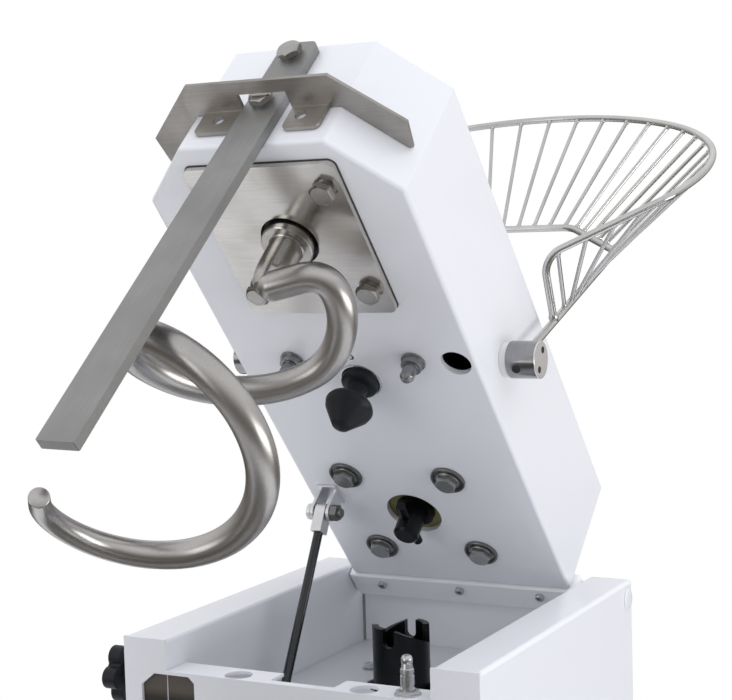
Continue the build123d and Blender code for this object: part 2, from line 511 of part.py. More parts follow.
# Claw cup on the drive shaft.
CUP_R, CUP_BORE, CUP_TOP, CUP_FLOOR, CUP_LOW = 24.6, 19.0, -10.0, -53.0, -75.0
CLAW_SLOT_R, CLAW_SLOT_Z = 5.2, -20.6
RAMP_FROM, RAMP_TO, RAMP_LOW, RAMP_STEPS = 22.0, -84.0, -26.5, 6
RAMP_IN, RAMP_OUT = 12.0, 34.0


def ramp_section(share):
    """Radial cut of the space over one ramp; share runs from the ramp's foot to its crest."""
    t = radians(RAMP_FROM + (RAMP_TO - RAMP_FROM) * share)
    z = RAMP_LOW + (CUP_TOP - RAMP_LOW) * share
    inner, outer = (RAMP_IN * cos(t), RAMP_IN * sin(t)), (RAMP_OUT * cos(t), RAMP_OUT * sin(t))
    high = CUP_TOP + 6
    return make_face(Polyline((*inner, z), (*outer, z), (*outer, high), (*inner, high), close=True))


ramp_space = loft([ramp_section(i / RAMP_STEPS) for i in range(RAMP_STEPS + 1)], ruled=True)
claw_cup = bar_z(PIN_X, PIN_Y, CUP_LOW, CUP_TOP, CUP_R)
claw_cup -= bar_z(PIN_X, PIN_Y, CUP_FLOOR, CUP_TOP + 1, CUP_BORE)
claw_cup -= bar_y(PIN_X, PIN_Y - 40, PIN_Y + 40, CLAW_SLOT_Z, CLAW_SLOT_R)
claw_cup -= block(PIN_X - CLAW_SLOT_R, PIN_X + CLAW_SLOT_R, PIN_Y - 40, PIN_Y + 40, CLAW_SLOT_Z, 0)
claw_cup -= Pos(PIN_X, PIN_Y, 0) * ramp_space
claw_cup -= Pos(PIN_X, PIN_Y, 0) * Rot(0, 0, 180) * ramp_space
DRIVE_R, DRIVE_LOW = 12.5, -548.0
drive_shaft = bar_z(PIN_X, PIN_Y, DRIVE_LOW, CUP_LOW, DRIVE_R)
drive_pulley = pulley(PIN_X, PIN_Y, DRIVE_BELT_Z, DRIVE_PULLEY_R, DRIVE_R + SLIP)

# Gearbox cast in one with its mounting flange across the column, and the motor below it.
GEAR_TOP, GEAR_LOW = -135.0, -200.0
MOTOR_X, MOTOR_Y, MOTOR_R, MOTOR_LOW = 15.0, -230.0, 60.0, -392.0
gearbox = fillet(block(-52, 80, -296, -62, GEAR_LOW, GEAR_TOP).edges().filter_by(Axis.Z), 12)
gearbox -= bar_z(PIN_X, PIN_Y, GEAR_LOW - 1, GEAR_TOP + 1, DRIVE_R + RUN_FIT)
gear_feet = block(-CHEEK_IN + GAP, CHEEK_IN - GAP, -312, -40, GEAR_LOW - 4, GEAR_LOW)
gear_feet -= bar_z(MOTOR_X, MOTOR_Y, GEAR_LOW - 5, GEAR_LOW + 1, MOTOR_R + 2)
gear_feet -= bar_z(PIN_X, PIN_Y, GEAR_LOW - 5, GEAR_LOW + 1, DRIVE_R + 4)
gear_feet -= block(STRUT_X - 17, STRUT_X + 17, -313, -225, GEAR_LOW - 5, GEAR_LOW + 1)
gearbox += gear_feet
COWL_R, COWL_TOP = 52.0, MOTOR_LOW + 40.0
motor_outline = [(0, MOTOR_LOW), (COWL_R - 8, MOTOR_LOW), (COWL_R, MOTOR_LOW + 8), (COWL_R, COWL_TOP),
                 (MOTOR_R, COWL_TOP), (MOTOR_R, GEAR_LOW), (0, GEAR_LOW)]
gear_motor = turned(MOTOR_X, MOTOR_Y, motor_outline)

# Gas strut in the raised pose, built along its own line from the fork pin to the lower eye.
lift = radians(HEAD_RAISE)
fork_y = -FORK_U * cos(lift) + FORK_W * sin(lift)
fork_z = FORK_U * sin(lift) + FORK_W * cos(lift)
strut_length = hypot(ANCHOR_Y - fork_y, ANCHOR_Z - fork_z)
strut_plane = Plane(origin=(STRUT_X, fork_y, fork_z), x_dir=(1, 0, 0),
                    z_dir=(0, (ANCHOR_Y - fork_y) / strut_length, (ANCHOR_Z - fork_z) / strut_length))
END_TOP, END_LOW, END_HALF, END_DEEP = -7.5, 19.0, 5.0, 6.5
TUBE_START, ROD_END = 157.0, 178.0
TUBE_R, TUBE_BORE, STRUT_ROD_R, EYE_R = 11.0, 9.0, 4.0, 10.0
LUG_IN, LUG_T, LUG_R, PIVOT_R = 6.2, 3.0, 7.5, 4.0
lug_out = LUG_IN + LUG_T
rod_end = block(-END_HALF, END_HALF, -END_DEEP, END_DEEP, END_TOP, END_LOW)
rod_end = fillet(rod_end.edges().filter_by(Axis.X).sort_by(Axis.Z)[:2], 6)
rod_end -= bar_z(0, 0, END_LOW - 8, END_LOW + 1, STRUT_ROD_R + SLIP)
PIVOT_HEAD, PIVOT_HEAD_R, PIVOT_REACH, NUT_FLATS, NUT_T = 4.0, 7.0, 10.0, 13.0, 6.5
pivot_bolt = bar_x(-lug_out - PIVOT_HEAD, lug_out + PIVOT_REACH, 0, 0, PIVOT_R)
pivot_bolt += bar_x(-lug_out - PIVOT_HEAD, -lug_out - GAP, 0, 0, PIVOT_HEAD_R)
pivot_bolt += Pos(lug_out + GAP, 0, 0) * Rot(0, 90, 0) * hexagon(NUT_FLATS, NUT_T)
strut_rod_end = strut_plane * (rod_end + pivot_bolt)
rod = bar_z(0, 0, END_LOW - 7.5, ROD_END, STRUT_ROD_R) + bar_z(0, 0, ROD_END - 8, ROD_END, TUBE_BORE - GAP)
strut_rod = strut_plane * rod
TUBE_END = strut_length - 12
cylinder = bar_z(0, 0, TUBE_START, TUBE_END, TUBE_R) - bar_z(0, 0, TUBE_START + 10, TUBE_END - 6, TUBE_BORE)
cylinder -= bar_z(0, 0, TUBE_START - 1, TUBE_START + 12, STRUT_ROD_R + RUN_FIT)
cylinder += bar_x(-9, 9, 0, strut_length, EYE_R) + bar_z(0, 0, TUBE_END - 1, strut_length, 6)
cylinder -= bar_x(-20, 20, 0, strut_length, 4)
strut_cylinder = strut_plane * cylinder
# The bracket under the head is bent to a U; the rod's end sits between its two lugs.
lug = block(0, LUG_T, -FORK_U - LUG_R, -FORK_U + LUG_R, FORK_W, HEAD_UNDER)
lug += bar_x(0, LUG_T, -FORK_U, FORK_W, LUG_R)
lug -= bar_x(-1, LUG_T + 1, -FORK_U, FORK_W, PIVOT_R + RUN_FIT)
strut_bracket = Pos(STRUT_X + LUG_IN, 0, 0) * lug + Pos(STRUT_X - lug_out, 0, 0) * lug
strut_bracket += block(STRUT_X - lug_out, STRUT_X + lug_out, -FORK_U - 12, -FORK_U + 12, HEAD_UNDER - LUG_T,
                       HEAD_UNDER)
ANCHOR_HALF, ANCHOR_T, ANCHOR_IN, ANCHOR_REAR = 24.0, 4.0, 11.8, -250.0
anchor_low, anchor_high, plate_back = ANCHOR_Z - ANCHOR_HALF, ANCHOR_Z + ANCHOR_HALF, PANEL_BACK + ANCHOR_T
anchor_cheek = block(0, ANCHOR_T, plate_back, ANCHOR_REAR, anchor_low, anchor_high)
strut_anchor = Pos(STRUT_X + ANCHOR_IN, 0, 0) * anchor_cheek
strut_anchor += Pos(STRUT_X - ANCHOR_IN - ANCHOR_T, 0, 0) * anchor_cheek
strut_anchor += block(STRUT_X - ANCHOR_HALF, STRUT_X + ANCHOR_HALF, PANEL_BACK, plate_back, anchor_low, anchor_high)

# Side lock: bush on the left cheek, bolt and lobed knob.
BOLT_TIP, BOLT_END, KNOB_OUT, KNOB_IN, KNOB_HUB = -22.0, -179.0, -184.0, -172.0, -169.0
BUSH_OUT, BUSH_R = -156.2, 13.0
KNOB_CORE_R, LOBE_R, LOBE_AT, LOBES, LOBE_TURN = 17.0, 9.0, 15.0, 5, 184.0
lock_bush = ring_x(BUSH_OUT, -BODY_HALF, LOCK_Y, LOCK_Z, BUSH_R, LOCK_R + RUN_FIT)
lock_bolt = bar_x(BOLT_END, BOLT_TIP, LOCK_Y, LOCK_Z, LOCK_R)
lock_knob = bar_x(KNOB_OUT, KNOB_IN, LOCK_Y, LOCK_Z, KNOB_CORE_R)
for i in range(LOBES):
    t = radians(LOBE_TURN) + 2 * pi * i / LOBES
    lock_knob += bar_x(KNOB_OUT, KNOB_IN, LOCK_Y + LOBE_AT * cos(t), LOCK_Z + LOBE_AT * sin(t), LOBE_R)
lock_knob += bar_x(KNOB_IN, KNOB_HUB, LOCK_Y, LOCK_Z, 11)
lock_knob -= bar_x(BOLT_END - 0.2, KNOB_HUB + 1, LOCK_Y, LOCK_Z, LOCK_R + RUN_FIT)

# Head switch: body and nut on the ledge, sprung plunger.
SWITCH_HALF, SWITCH_LOW, SWITCH_BORE_LOW = 11.0, -56.0, -52.0
switch_body = block(SWITCH_X - SWITCH_HALF, SWITCH_X + SWITCH_HALF, PANEL_BACK + 1, -295, SWITCH_LOW,
                    LEDGE_Z - SHEET)
switch_body += bar_z(SWITCH_X, SWITCH_Y, LEDGE_Z - SHEET, LEDGE_Z, 7.7)
switch_body += Pos(SWITCH_X, SWITCH_Y, LEDGE_Z) * hexagon(17, 6)
PLUNGER_R, PLUNGER_LOW, PLUNGER_TOP, PLUNGER_TIP_R = 5.6, -40.0, 20.0, 4.2
switch_body -= bar_z(SWITCH_X, SWITCH_Y, SWITCH_BORE_LOW, 0, PLUNGER_R + RUN_FIT)
plunger_outline = [(0, PLUNGER_LOW), (PLUNGER_R, PLUNGER_LOW), (PLUNGER_R, 9), (PLUNGER_TIP_R, 15),
                   (PLUNGER_TIP_R, 18), (2.6, PLUNGER_TOP), (0, PLUNGER_TOP)]
switch_plunger = turned(SWITCH_X, SWITCH_Y, plunger_outline)

# Bowl on its spindle.
def bowl_volume(r, floor, top, corner):
    """Solid of revolution with a rounded lower corner."""
    low_r, low_z = r - corner, floor + corner
    mid = (low_r + corner * sin(pi / 4), low_z - corner * cos(pi / 4))
    outline = [Line((0, floor), (low_r, floor)), ThreePointArc((low_r, floor), mid, (r, low_z)),
               Line((r, low_z), (r, top)), Line((r, top), (0, top)), Line((0, top), (0, floor))]
    face = Plane.XZ * make_face([e.edge() for e in outline])
    return Pos(0, BOWL_Y, 0) * revolve(face, Axis.Z)


RIM_BEAD = 3.5
bead_z = BOWL_RIM_Z - RIM_BEAD
bowl = bowl_volume(BOWL_R + BOWL_WALL, BOWL_FLOOR_Z - BOWL_WALL, bead_z, BOWL_CORNER + BOWL_WALL)
bowl += Pos(0, BOWL_Y, bead_z) * Torus(BOWL_R + RIM_BEAD, RIM_BEAD)
bowl -= bowl_volume(BOWL_R, BOWL_FLOOR_Z, BOWL_RIM_Z + 10, BOWL_CORNER)
SPINDLE_R, SPINDLE_LOW, TABLE_R, TABLE_T = 20.0, -546.0, 80.0, 9.0
bowl_low = BOWL_FLOOR_Z - BOWL_WALL
table_low = bowl_low - TABLE_T
bowl_spindle = turned(0, BOWL_Y, [(0, SPINDLE_LOW), (SPINDLE_R, SPINDLE_LOW), (SPINDLE_R, table_low),
                                  (TABLE_R, table_low), (TABLE_R, bowl_low), (0, bowl_low)])
bowl_pulley = pulley(0, BOWL_Y, DRIVE_BELT_Z, BOWL_PULLEY_R, SPINDLE_R + SLIP)
BEARING_R, BEARING_FLANGE_R, BEARING_LOW, BEARING_TOP = 50.0, 80.0, -430.0, -337.0
bearing_bore = SPINDLE_R + RUN_FIT
bearing_outline = [(bearing_bore, BEARING_LOW), (BEARING_R, BEARING_LOW), (BEARING_R, BASE_TOP),
                   (BEARING_FLANGE_R, BASE_TOP), (BEARING_FLANGE_R, BASE_TOP + 8), (BEARING_R, BASE_TOP + 12),
                   (BEARING_R, BEARING_TOP), (bearing_bore, BEARING_TOP)]
bowl_bearing = turned(0, BOWL_Y, bearing_outline)
bowl_belt = belt((0, BOWL_Y), BOWL_PULLEY_R - BELT_SEAT, (PIN_X, PIN_Y), DRIVE_PULLEY_R - BELT_SEAT, BELT_T,
                 DRIVE_BELT_Z - BELT_HALF, DRIVE_BELT_Z + BELT_HALF)

# Base: folded shell, floor plate and rubber feet.
def base_volume(inset):
    """Closed base volume with a sloped front edge."""
    profile = [(BASE_FRONT + inset, BASE_LOW - 1), (BASE_FRONT + inset, -440 - inset * 0.5),
               (-630 + inset * 0.6, BASE_TOP - inset), (BODY_REAR - inset, BASE_TOP - inset),
               (BODY_REAR - inset, BASE_LOW - 1)]
    return side(profile, -BODY_HALF + inset, BODY_HALF - inset)


outer = base_volume(0)
outer = fillet(outer.edges().filter_by(Axis.Z), 6)
base_shell = (outer - base_volume(3)) & block(-300, 300, -900, 100, BASE_LOW, BASE_TOP + 1)
base_shell -= bar_z(0, BOWL_Y, BASE_TOP - 10, BASE_TOP + 1, BEARING_R + GAP)
base_shell -= block(-105, 105, -300, -12, BASE_TOP - 10, BASE_TOP + 1)
base_floor = block(-149, 149, BASE_FRONT + 4, BODY_REAR - 4, BASE_LOW, BASE_LOW + 4)
FOOT_R, FOOT_TOP_R = 25.0, 20.0
foot = turned(0, 0, [(0, -HINGE_Z), (FOOT_R, -HINGE_Z), (FOOT_R, -HINGE_Z + 6), (FOOT_TOP_R, BASE_LOW),
                     (0, BASE_LOW)])
feet = Compound([Pos(x, y, 0) * foot for x in (-118, 118) for y in (-640, -28)])

# Controls on the right cheek and the cable gland at the back.
control_panel = fillet(block(BODY_HALF, BODY_HALF + 6, -240, -115, -255, -175).edges().filter_by(Axis.X), 8)
for y in (START_Y, STOP_Y):
    control_panel -= bar_x(BODY_HALF - 1, BODY_HALF + 10, y, BUTTON_Z, BUTTON_R + BUTTON_ROOM)
start_button = bar_x(BODY_HALF - 6, BODY_HALF + 11, START_Y, BUTTON_Z, BUTTON_R)
STOP_OUT, STOP_R = 11.5, 16.0
stop_button = bar_x(BODY_HALF - 6, BODY_HALF + STOP_OUT, STOP_Y, BUTTON_Z, BUTTON_R)
stop_head = turned(0, 0, [(0, 0), (STOP_R - 1, 0), (STOP_R, 3), (STOP_R - 2, 6), (0, 7)])
stop_button += Pos(BODY_HALF + STOP_OUT, STOP_Y, BUTTON_Z) * Rot(0, 90, 0) * stop_head
GLAND_X, GLAND_Z, GLAND_NUT = 90.0, -560.0, BODY_REAR + 8.0
cable_gland = bar_y(GLAND_X, BODY_REAR, GLAND_NUT, GLAND_Z, 14)
cable_gland += bar_y(GLAND_X, GLAND_NUT, GLAND_NUT + 16, GLAND_Z, 10)


def raised(shape):
    """Turn a head piece from shut to raised."""
    return shape.rotate(Axis.X, -HEAD_RAISE)


def flipped(shape):
    """Turn a guard piece from shut to flipped back, then raise it with the head."""
    return raised(shape.rotate(Axis((0, HUB_Y, HUB_Z), (1, 0, 0)), -GUARD_FLIP))


head_nodes = {
    "head_shell": head_shell, "head_top_cover": head_top_cover, "rear_flange": rear_flange,
    "pivot_bushes": pivot_bushes, "bearing_plate": bearing_plate, "hex_bolts": hex_bolts,
    "bolt_washers": bolt_washers, "breaker_bar": breaker_bar, "nose_bracket": nose_bracket,
    "spiral_shaft": spiral_shaft, "spiral_hook": spiral_hook, "spiral_pulley": spiral_pulley,
    "spiral_bearing": spiral_bearing, "pin_shaft": pin_shaft, "cross_pin": cross_pin, "pin_pulley": pin_pulley,
    "pin_bearing": pin_bearing, "head_belt": head_belt, "lock_mushroom": lock_mushroom,
    "locating_studs": locating_studs, "switch_striker": switch_striker, "hub_washers": hub_washers,
    "hub_pins": hub_pins, "strut_bracket": strut_bracket,
}
guard_nodes = {
    "guard_hubs": guard_hubs, "guard_rail": guard_rail, "guard_rim": guard_rim, "guard_wires": guard_wires,
}
body_nodes = {
    "pivot_pins": pivot_pins, "left_cheek": left_cheek, "right_cheek": right_cheek, "front_panel": front_panel,
    "recess_tray": recess_tray, "rear_panel": rear_panel, "claw_cup": claw_cup, "drive_shaft": drive_shaft,
    "drive_pulley": drive_pulley, "gearbox": gearbox, "gear_motor": gear_motor,
    "strut_rod_end": strut_rod_end, "strut_rod": strut_rod,
    "strut_cylinder": strut_cylinder, "strut_anchor": strut_anchor, "lock_bush": lock_bush, "lock_bolt": lock_bolt,
    "lock_knob": lock_knob, "switch_body": switch_body, "switch_plunger": switch_plunger, "bowl": bowl,
    "bowl_spindle": bowl_spindle, "bowl_pulley": bowl_pulley, "bowl_bearing": bowl_bearing, "bowl_belt": bowl_belt,
    "base_shell": base_shell, "base_floor": base_floor, "feet": feet, "control_panel": control_panel,
    "start_button": start_button, "stop_button": stop_button, "cable_gland": cable_gland,
}
nodes = {name: raised(shape) for name, shape in head_nodes.items()}
nodes.update({name: flipped(shape) for name, shape in guard_nodes.items()})
nodes.update(body_nodes)

# The frame's origin lies on the floor under the middle of the whole machine.
depth_low = bowl.bounding_box().min.Y
depth_high = nodes["guard_rim"].bounding_box().max.Y
HINGE_Y = -(depth_low + depth_high) / 2
print("hinge line at y", round(HINGE_Y, 3), "z", HINGE_Z, "nodes", len(nodes))

os.makedirs("parts", exist_ok=True)
for name, shape in nodes.items():
    export_step(Pos(0, HINGE_Y, HINGE_Z) * shape, "parts/" + name + ".step")
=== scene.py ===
import json
from math import cos, pi, radians, sin, tan

import bmesh
import bpy
from mathutils import Matrix, Vector


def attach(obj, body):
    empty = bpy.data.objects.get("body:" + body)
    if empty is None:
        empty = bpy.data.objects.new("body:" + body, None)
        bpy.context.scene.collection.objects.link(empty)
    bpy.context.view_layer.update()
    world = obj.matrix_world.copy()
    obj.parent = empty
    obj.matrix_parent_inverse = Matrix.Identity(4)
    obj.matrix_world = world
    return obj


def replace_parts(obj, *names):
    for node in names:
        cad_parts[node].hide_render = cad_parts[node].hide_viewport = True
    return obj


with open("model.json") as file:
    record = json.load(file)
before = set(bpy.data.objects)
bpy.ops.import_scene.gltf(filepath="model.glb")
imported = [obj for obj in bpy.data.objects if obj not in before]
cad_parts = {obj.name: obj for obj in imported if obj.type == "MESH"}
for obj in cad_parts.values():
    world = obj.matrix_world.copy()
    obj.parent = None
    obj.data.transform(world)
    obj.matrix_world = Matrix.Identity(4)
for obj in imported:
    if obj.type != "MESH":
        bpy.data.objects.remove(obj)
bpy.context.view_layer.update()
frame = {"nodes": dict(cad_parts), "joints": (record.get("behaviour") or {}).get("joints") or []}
cad = frame["nodes"]
hinge = Vector(frame["joints"][0]["pos_m"])


# Base shell.  A long box folded from 3 mm steel sheet with a sloped front edge under the bowl,
# coated with glossy white powder enamel.  Everything else is screwed to it.
def add(tree, kind, inputs=None, **settings):
    """Shader node of one kind; settings are its own switches, inputs are numbers or sockets."""
    made = tree.nodes.new("ShaderNode" + kind)
    for key, value in settings.items():
        setattr(made, key, value)
    for key, value in (inputs or {}).items():
        if isinstance(value, bpy.types.NodeSocket):
            tree.links.new(value, made.inputs[key])
        else:
            made.inputs[key].default_value = value
    return made


def effect(name, inputs, outputs):
    """Empty shader group with named inputs and outputs; returns its tree, inputs and outputs."""
    tree = bpy.data.node_groups.new(name, "ShaderNodeTree")
    for key, kind in inputs.items():
        tree.interface.new_socket(key, in_out="INPUT", socket_type="NodeSocket" + kind)
    for key in outputs:
        tree.interface.new_socket(key, in_out="OUTPUT", socket_type="NodeSocketFloat")
    return tree, tree.nodes.new("NodeGroupInput").outputs, tree.nodes.new("NodeGroupOutput").inputs


def tint(tree, mask, plain, marked):
    """Colour that goes from plain to marked as the mask rises."""
    return add(tree, "Mix", {0: mask, 6: plain, 7: marked}, data_type="RGBA").outputs[2]


def spread(tree, value, low, high, start=0.0, end=1.0):
    """Value that runs from low to high while the given one runs from start to end."""
    span = {"Value": value, "From Min": start, "From Max": end, "To Min": low, "To Max": high}
    return add(tree, "MapRange", span).outputs[0]


def finish(name, **fixed):
    """New material: its tree, the shader's inputs and the piece's own coordinates."""
    mat = bpy.data.materials.new(name)
    mat.use_nodes = True
    tree = mat.node_tree
    shader = tree.nodes["Principled BSDF"].inputs
    for key, value in fixed.items():
        shader[key.replace("_", " ").title()].default_value = value
    return mat, tree, shader, add(tree, "TexCoord").outputs["Object"]


def repaint(mat, mask, colour):
    """Change a finished material's colour where a mask, made from the piece's own coordinates, rises."""
    tree = mat.node_tree
    base = tree.nodes["Principled BSDF"].inputs["Base Color"]
    plain = base.links[0].from_socket
    places = add(tree, "SeparateXYZ", {0: add(tree, "TexCoord").outputs["Object"]}).outputs
    tree.links.new(tint(tree, mask(tree, places), plain, colour), base)
    return mat


skin_inputs = {"Position": "Vector", "Peel": "Float"}
coat_skin, into, out = effect("coat_skin", skin_inputs, ("Height", "Cloud", "Speck"))
peel = add(coat_skin, "TexNoise", {"Vector": into["Position"], "Scale": into["Peel"], "Detail": 2.0})
cloud = add(coat_skin, "TexNoise",
            {"Vector": into["Position"], "Scale": 7.0, "Detail": 4.0, "Roughness": 0.55})
grit = add(coat_skin, "TexVoronoi", {"Vector": into["Position"], "Scale": 150.0})
rare = add(coat_skin, "Math", {0: grit.outputs["Color"], 1: 0.88}, operation="GREATER_THAN")
near = add(coat_skin, "Math", {0: grit.outputs["Distance"], 1: 0.05}, operation="LESS_THAN")
speck = add(coat_skin, "Math", {0: rare.outputs[0], 1: near.outputs[0]}, operation="MULTIPLY")
coat_skin.links.new(peel.outputs[0], out["Height"])
coat_skin.links.new(cloud.outputs[0], out["Cloud"])
coat_skin.links.new(speck.outputs[0], out["Speck"])


def enamel(name, colour, shade, rough=(0.285, 0.36), peel=380.0, grain=0.05, coat=0.3, gloss=1.5):
    """Powder enamel or moulded plastic: faint orange peel, soft clouds and a few specks of dust."""
    mat, tree, shader, where = finish(name, coat_weight=coat, coat_roughness=0.08)
    shader["IOR"].default_value = gloss
    skin = add(tree, "Group", {"Position": where, "Peel": peel}, node_tree=coat_skin).outputs
    clouded = tint(tree, skin["Cloud"], colour, shade)
    dust = tint(tree, skin["Speck"], clouded, tuple(0.7 * c for c in shade[:3]) + (1.0,))
    tree.links.new(dust, shader["Base Color"])
    tree.links.new(spread(tree, skin["Cloud"], *rough), shader["Roughness"])
    bump = add(tree, "Bump", {"Height": skin["Height"], "Strength": grain, "Distance": 0.0006})
    tree.links.new(bump.outputs[0], shader["Normal"])
    return mat


FOLD = radians(36)


def curve_shading():
    """Geometry group that shades round faces smooth and keeps folds crisp."""
    tree = bpy.data.node_groups.new("round_faces_smooth", "GeometryNodeTree")
    for way in ("INPUT", "OUTPUT"):
        tree.interface.new_socket("Geometry", in_out=way, socket_type="NodeSocketGeometry")
    smooth = tree.nodes.new("GeometryNodeSetShadeSmooth")
    crisp = tree.nodes.new("GeometryNodeSetShadeSmooth")
    crisp.domain = "EDGE"
    crisp.inputs["Shade Smooth"].default_value = False
    fold = tree.nodes.new("GeometryNodeInputMeshEdgeAngle")
    over = tree.nodes.new("FunctionNodeCompare")
    over.inputs[1].default_value = FOLD
    tree.links.new(fold.outputs[0], over.inputs[0])
    tree.links.new(over.outputs[0], crisp.inputs["Selection"])
    tree.links.new(tree.nodes.new("NodeGroupInput").outputs[0], smooth.inputs[0])
    tree.links.new(smooth.outputs[0], crisp.inputs[0])
    tree.links.new(crisp.outputs[0], tree.nodes.new("NodeGroupOutput").inputs[0])
    return tree


round_faces = curve_shading()
SEAM, FLAT = 0.00002, radians(0.3)


def dress(mat, *names, edge=0.5):
    """Give solids a material; their sharp edges are broken by edge millimetres."""
    for name in names:
        solid = cad[name]
        for slot in solid.material_slots:
            slot.material = mat
        solid.modifiers.new("joined_seams", "WELD").merge_threshold = SEAM
        if edge:
            flats = solid.modifiers.new("whole_flats", "DECIMATE")
            flats.decimate_type = "DISSOLVE"
            flats.angle_limit = FLAT
            broken = solid.modifiers.new("broken_edges", "BEVEL")
            broken.width = edge / 1000
            broken.segments = 3
            broken.limit_method = "ANGLE"
            broken.angle_limit = FOLD
        solid.modifiers.new("smooth_curves", "NODES").node_group = round_faces
        if edge:
            solid.modifiers.new("even_flats", "WEIGHTED_NORMAL").keep_sharp = True


white_enamel = enamel("white_enamel", (0.845, 0.855, 0.895, 1), (0.81, 0.82, 0.86, 1))
dress(white_enamel, "base_shell", edge=0.8)


# Base floor and feet.  A galvanised plate closes the base from below, and four turned rubber feet
# on its corners carry the machine.
def galvanised(name, bright, dull):
    """Zinc-coated sheet with its crystal pattern."""
    mat, tree, shader, where = finish(name, metallic=0.9)
    spangle = add(tree, "TexVoronoi", {"Vector": where, "Scale": 90.0}).outputs["Color"]
    tree.links.new(tint(tree, spangle, bright, dull), shader["Base Color"])
    tree.links.new(spread(tree, spangle, 0.35, 0.55), shader["Roughness"])
    return mat


dress(galvanised("galvanised_sheet", (0.62, 0.64, 0.65, 1), (0.48, 0.5, 0.52, 1)), "base_floor", edge=0.3)
rubber = enamel("black_rubber", (0.03, 0.03, 0.03, 1), (0.05, 0.05, 0.05, 1), (0.6, 0.75), 900.0, 0.2, 0.0)
dress(rubber, "feet", edge=1.5)

# Column.  Two folded cheeks, a front panel with the ledge that the head rests on, and a rear panel, all
# in the same white enamel; the tray between them takes a greyer, slightly duller copy of that enamel,
# painted shade for the dim recess; the hinge pins have domed white caps.
# The tray's greyer copy of the white enamel is painted shade for the recess.
tray_enamel = enamel("tray_enamel", (0.7, 0.715, 0.75, 1), (0.65, 0.66, 0.69, 1), (0.3, 0.42))
dress(white_enamel, "left_cheek", "right_cheek", edge=2.0)
dress(white_enamel, "front_panel", "rear_panel", edge=1.3)
dress(tray_enamel, "recess_tray", edge=0.4)
white_cap = enamel("white_cap", (0.8, 0.81, 0.83, 1), (0.76, 0.77, 0.79, 1), (0.29, 0.36), 700.0)
dress(white_cap, "pivot_pins", edge=0.6)

# Column fittings.  Pressed louvres let warm air out of the rear panel, a dark grey bead runs up the
# recess's rear corners, and smoked plates close the front windows from behind.
bead_grey = enamel("grey_sealant", (0.27, 0.27, 0.28, 1), (0.22, 0.22, 0.23, 1), (0.5, 0.65), 600.0, 0.2, 0.0)
column_pose = Matrix.Translation(hinge)


def piece(name, shape, mat, body, pose, crisp=36):
    """Object from a shape drawn in millimetres from the hinge line; it rides on a body."""
    bmesh.ops.recalc_face_normals(shape, faces=shape.faces)
    bmesh.ops.scale(shape, vec=(0.001, 0.001, 0.001), verts=shape.verts)
    mesh = bpy.data.meshes.new(name)
    shape.to_mesh(mesh)
    shape.free()
    mesh.shade_smooth()
    mesh.set_sharp_from_angle(angle=radians(crisp))
    mesh.materials.append(mat)
    made = bpy.data.objects.new(name, mesh)
    bpy.context.scene.collection.objects.link(made)
    made.matrix_world = pose
    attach(made, body)
    return made


def skin(shape, rows):
    """Faces between neighbouring rows of a closed outline; a row may be a single point."""
    for low, high in zip(rows, rows[1:]):
        sides = max(len(low), len(high))
        for k in range(sides):
            n = (k + 1) % sides
            ring = [low[k % len(low)], low[n % len(low)], high[n % len(high)], high[k % len(high)]]
            shape.faces.new(list(dict.fromkeys(ring)))


def lathe(shape, outline, at, sides=48):
    """Turn (radius, height) rings about z.  A third entry of 6 makes a ring hexagonal (its radius is then
    half the width across flats), and a fourth is the fall of its corners per millimetre of reach."""
    rows = []
    for r, z, *extra in outline:
        row = []
        for k in range(sides if r else 1):
            t = 2 * pi * k / sides
            reach = r / cos(t % (pi / 3) - pi / 6) if extra else r
            fall = extra[1] * (reach - r) if len(extra) > 1 else 0.0
            row.append(shape.verts.new(at @ Vector((reach * cos(t), reach * sin(t), z - fall))))
        rows.append(row)
    skin(shape, rows)


def facing(x, y, z, direction):
    """Placement whose z axis points along a direction."""
    turn = Vector((0, 0, 1)).rotation_difference(Vector(direction)).to_matrix().to_4x4()
    return Matrix.Translation((x, y, z)) @ turn


def louvre(shape, x, y, z, half, rise):
    """Pressed slot, open below, standing proud of a wall that faces +y."""
    profile = [(0.0, 7.5), (0.35, 6.6), (0.7, 4.2), (0.93, 1.0), (1.0, -2.2), (0.98, -4.5), (0.62, -4.9)]
    steps = 24
    columns = []
    for k in range(steps + 1):
        s = -1 + 2 * k / steps
        proud = rise * max(0.0, 1 - s ** 6) ** 0.5
        columns.append([shape.verts.new((x + half * s, y + proud * a, z + b)) for a, b in profile])
    for p, q in zip(columns, columns[1:]):
        for k in range(len(profile) - 1):
            shape.faces.new((p[k], q[k], q[k + 1], p[k + 1]))


def bead(shape, outline, low, high):
    """Upright bead with one outline from a low to a high height."""
    rows = [[shape.verts.new((x, y, z)) for x, y in outline] for z in (low, high)]
    skin(shape, rows)
    for row in rows:
        shape.faces.new(row)


REAR_FACE, LOUVRES_TOP, LOUVRE_PITCH, LOUVRE_HALF, LOUVRE_RISE = 13.3, -120.0, 24.0, 62.0, 4.5
slots = bmesh.new()
for row in range(8):
    louvre(slots, 0.0, REAR_FACE, LOUVRES_TOP - LOUVRE_PITCH * row, LOUVRE_HALF, LOUVRE_RISE)
piece("rear_louvres", slots, white_enamel, "frame", column_pose, 50)
CORNER_BEAD = [(114.2, 10.8), (114.2, 8.9), (113.6, 9.3), (113.1, 9.7), (112.7, 10.2), (112.3, 10.8)]
TRAY_TOP, BEAD_TOP = -62.0, -16.0
corner_beads = bmesh.new()
for side in (-1, 1):
    bead(corner_beads, [(side * x, y) for x, y in CORNER_BEAD], TRAY_TOP, BEAD_TOP)
piece("corner_sealant", corner_beads, bead_grey, "frame", column_pose, 50)


def low_down(tree, places):
    """Mask that rises below the ledge, where no light gets behind the plates."""
    return spread(tree, places[2], 0.0, 1.0, -0.025, -0.032)


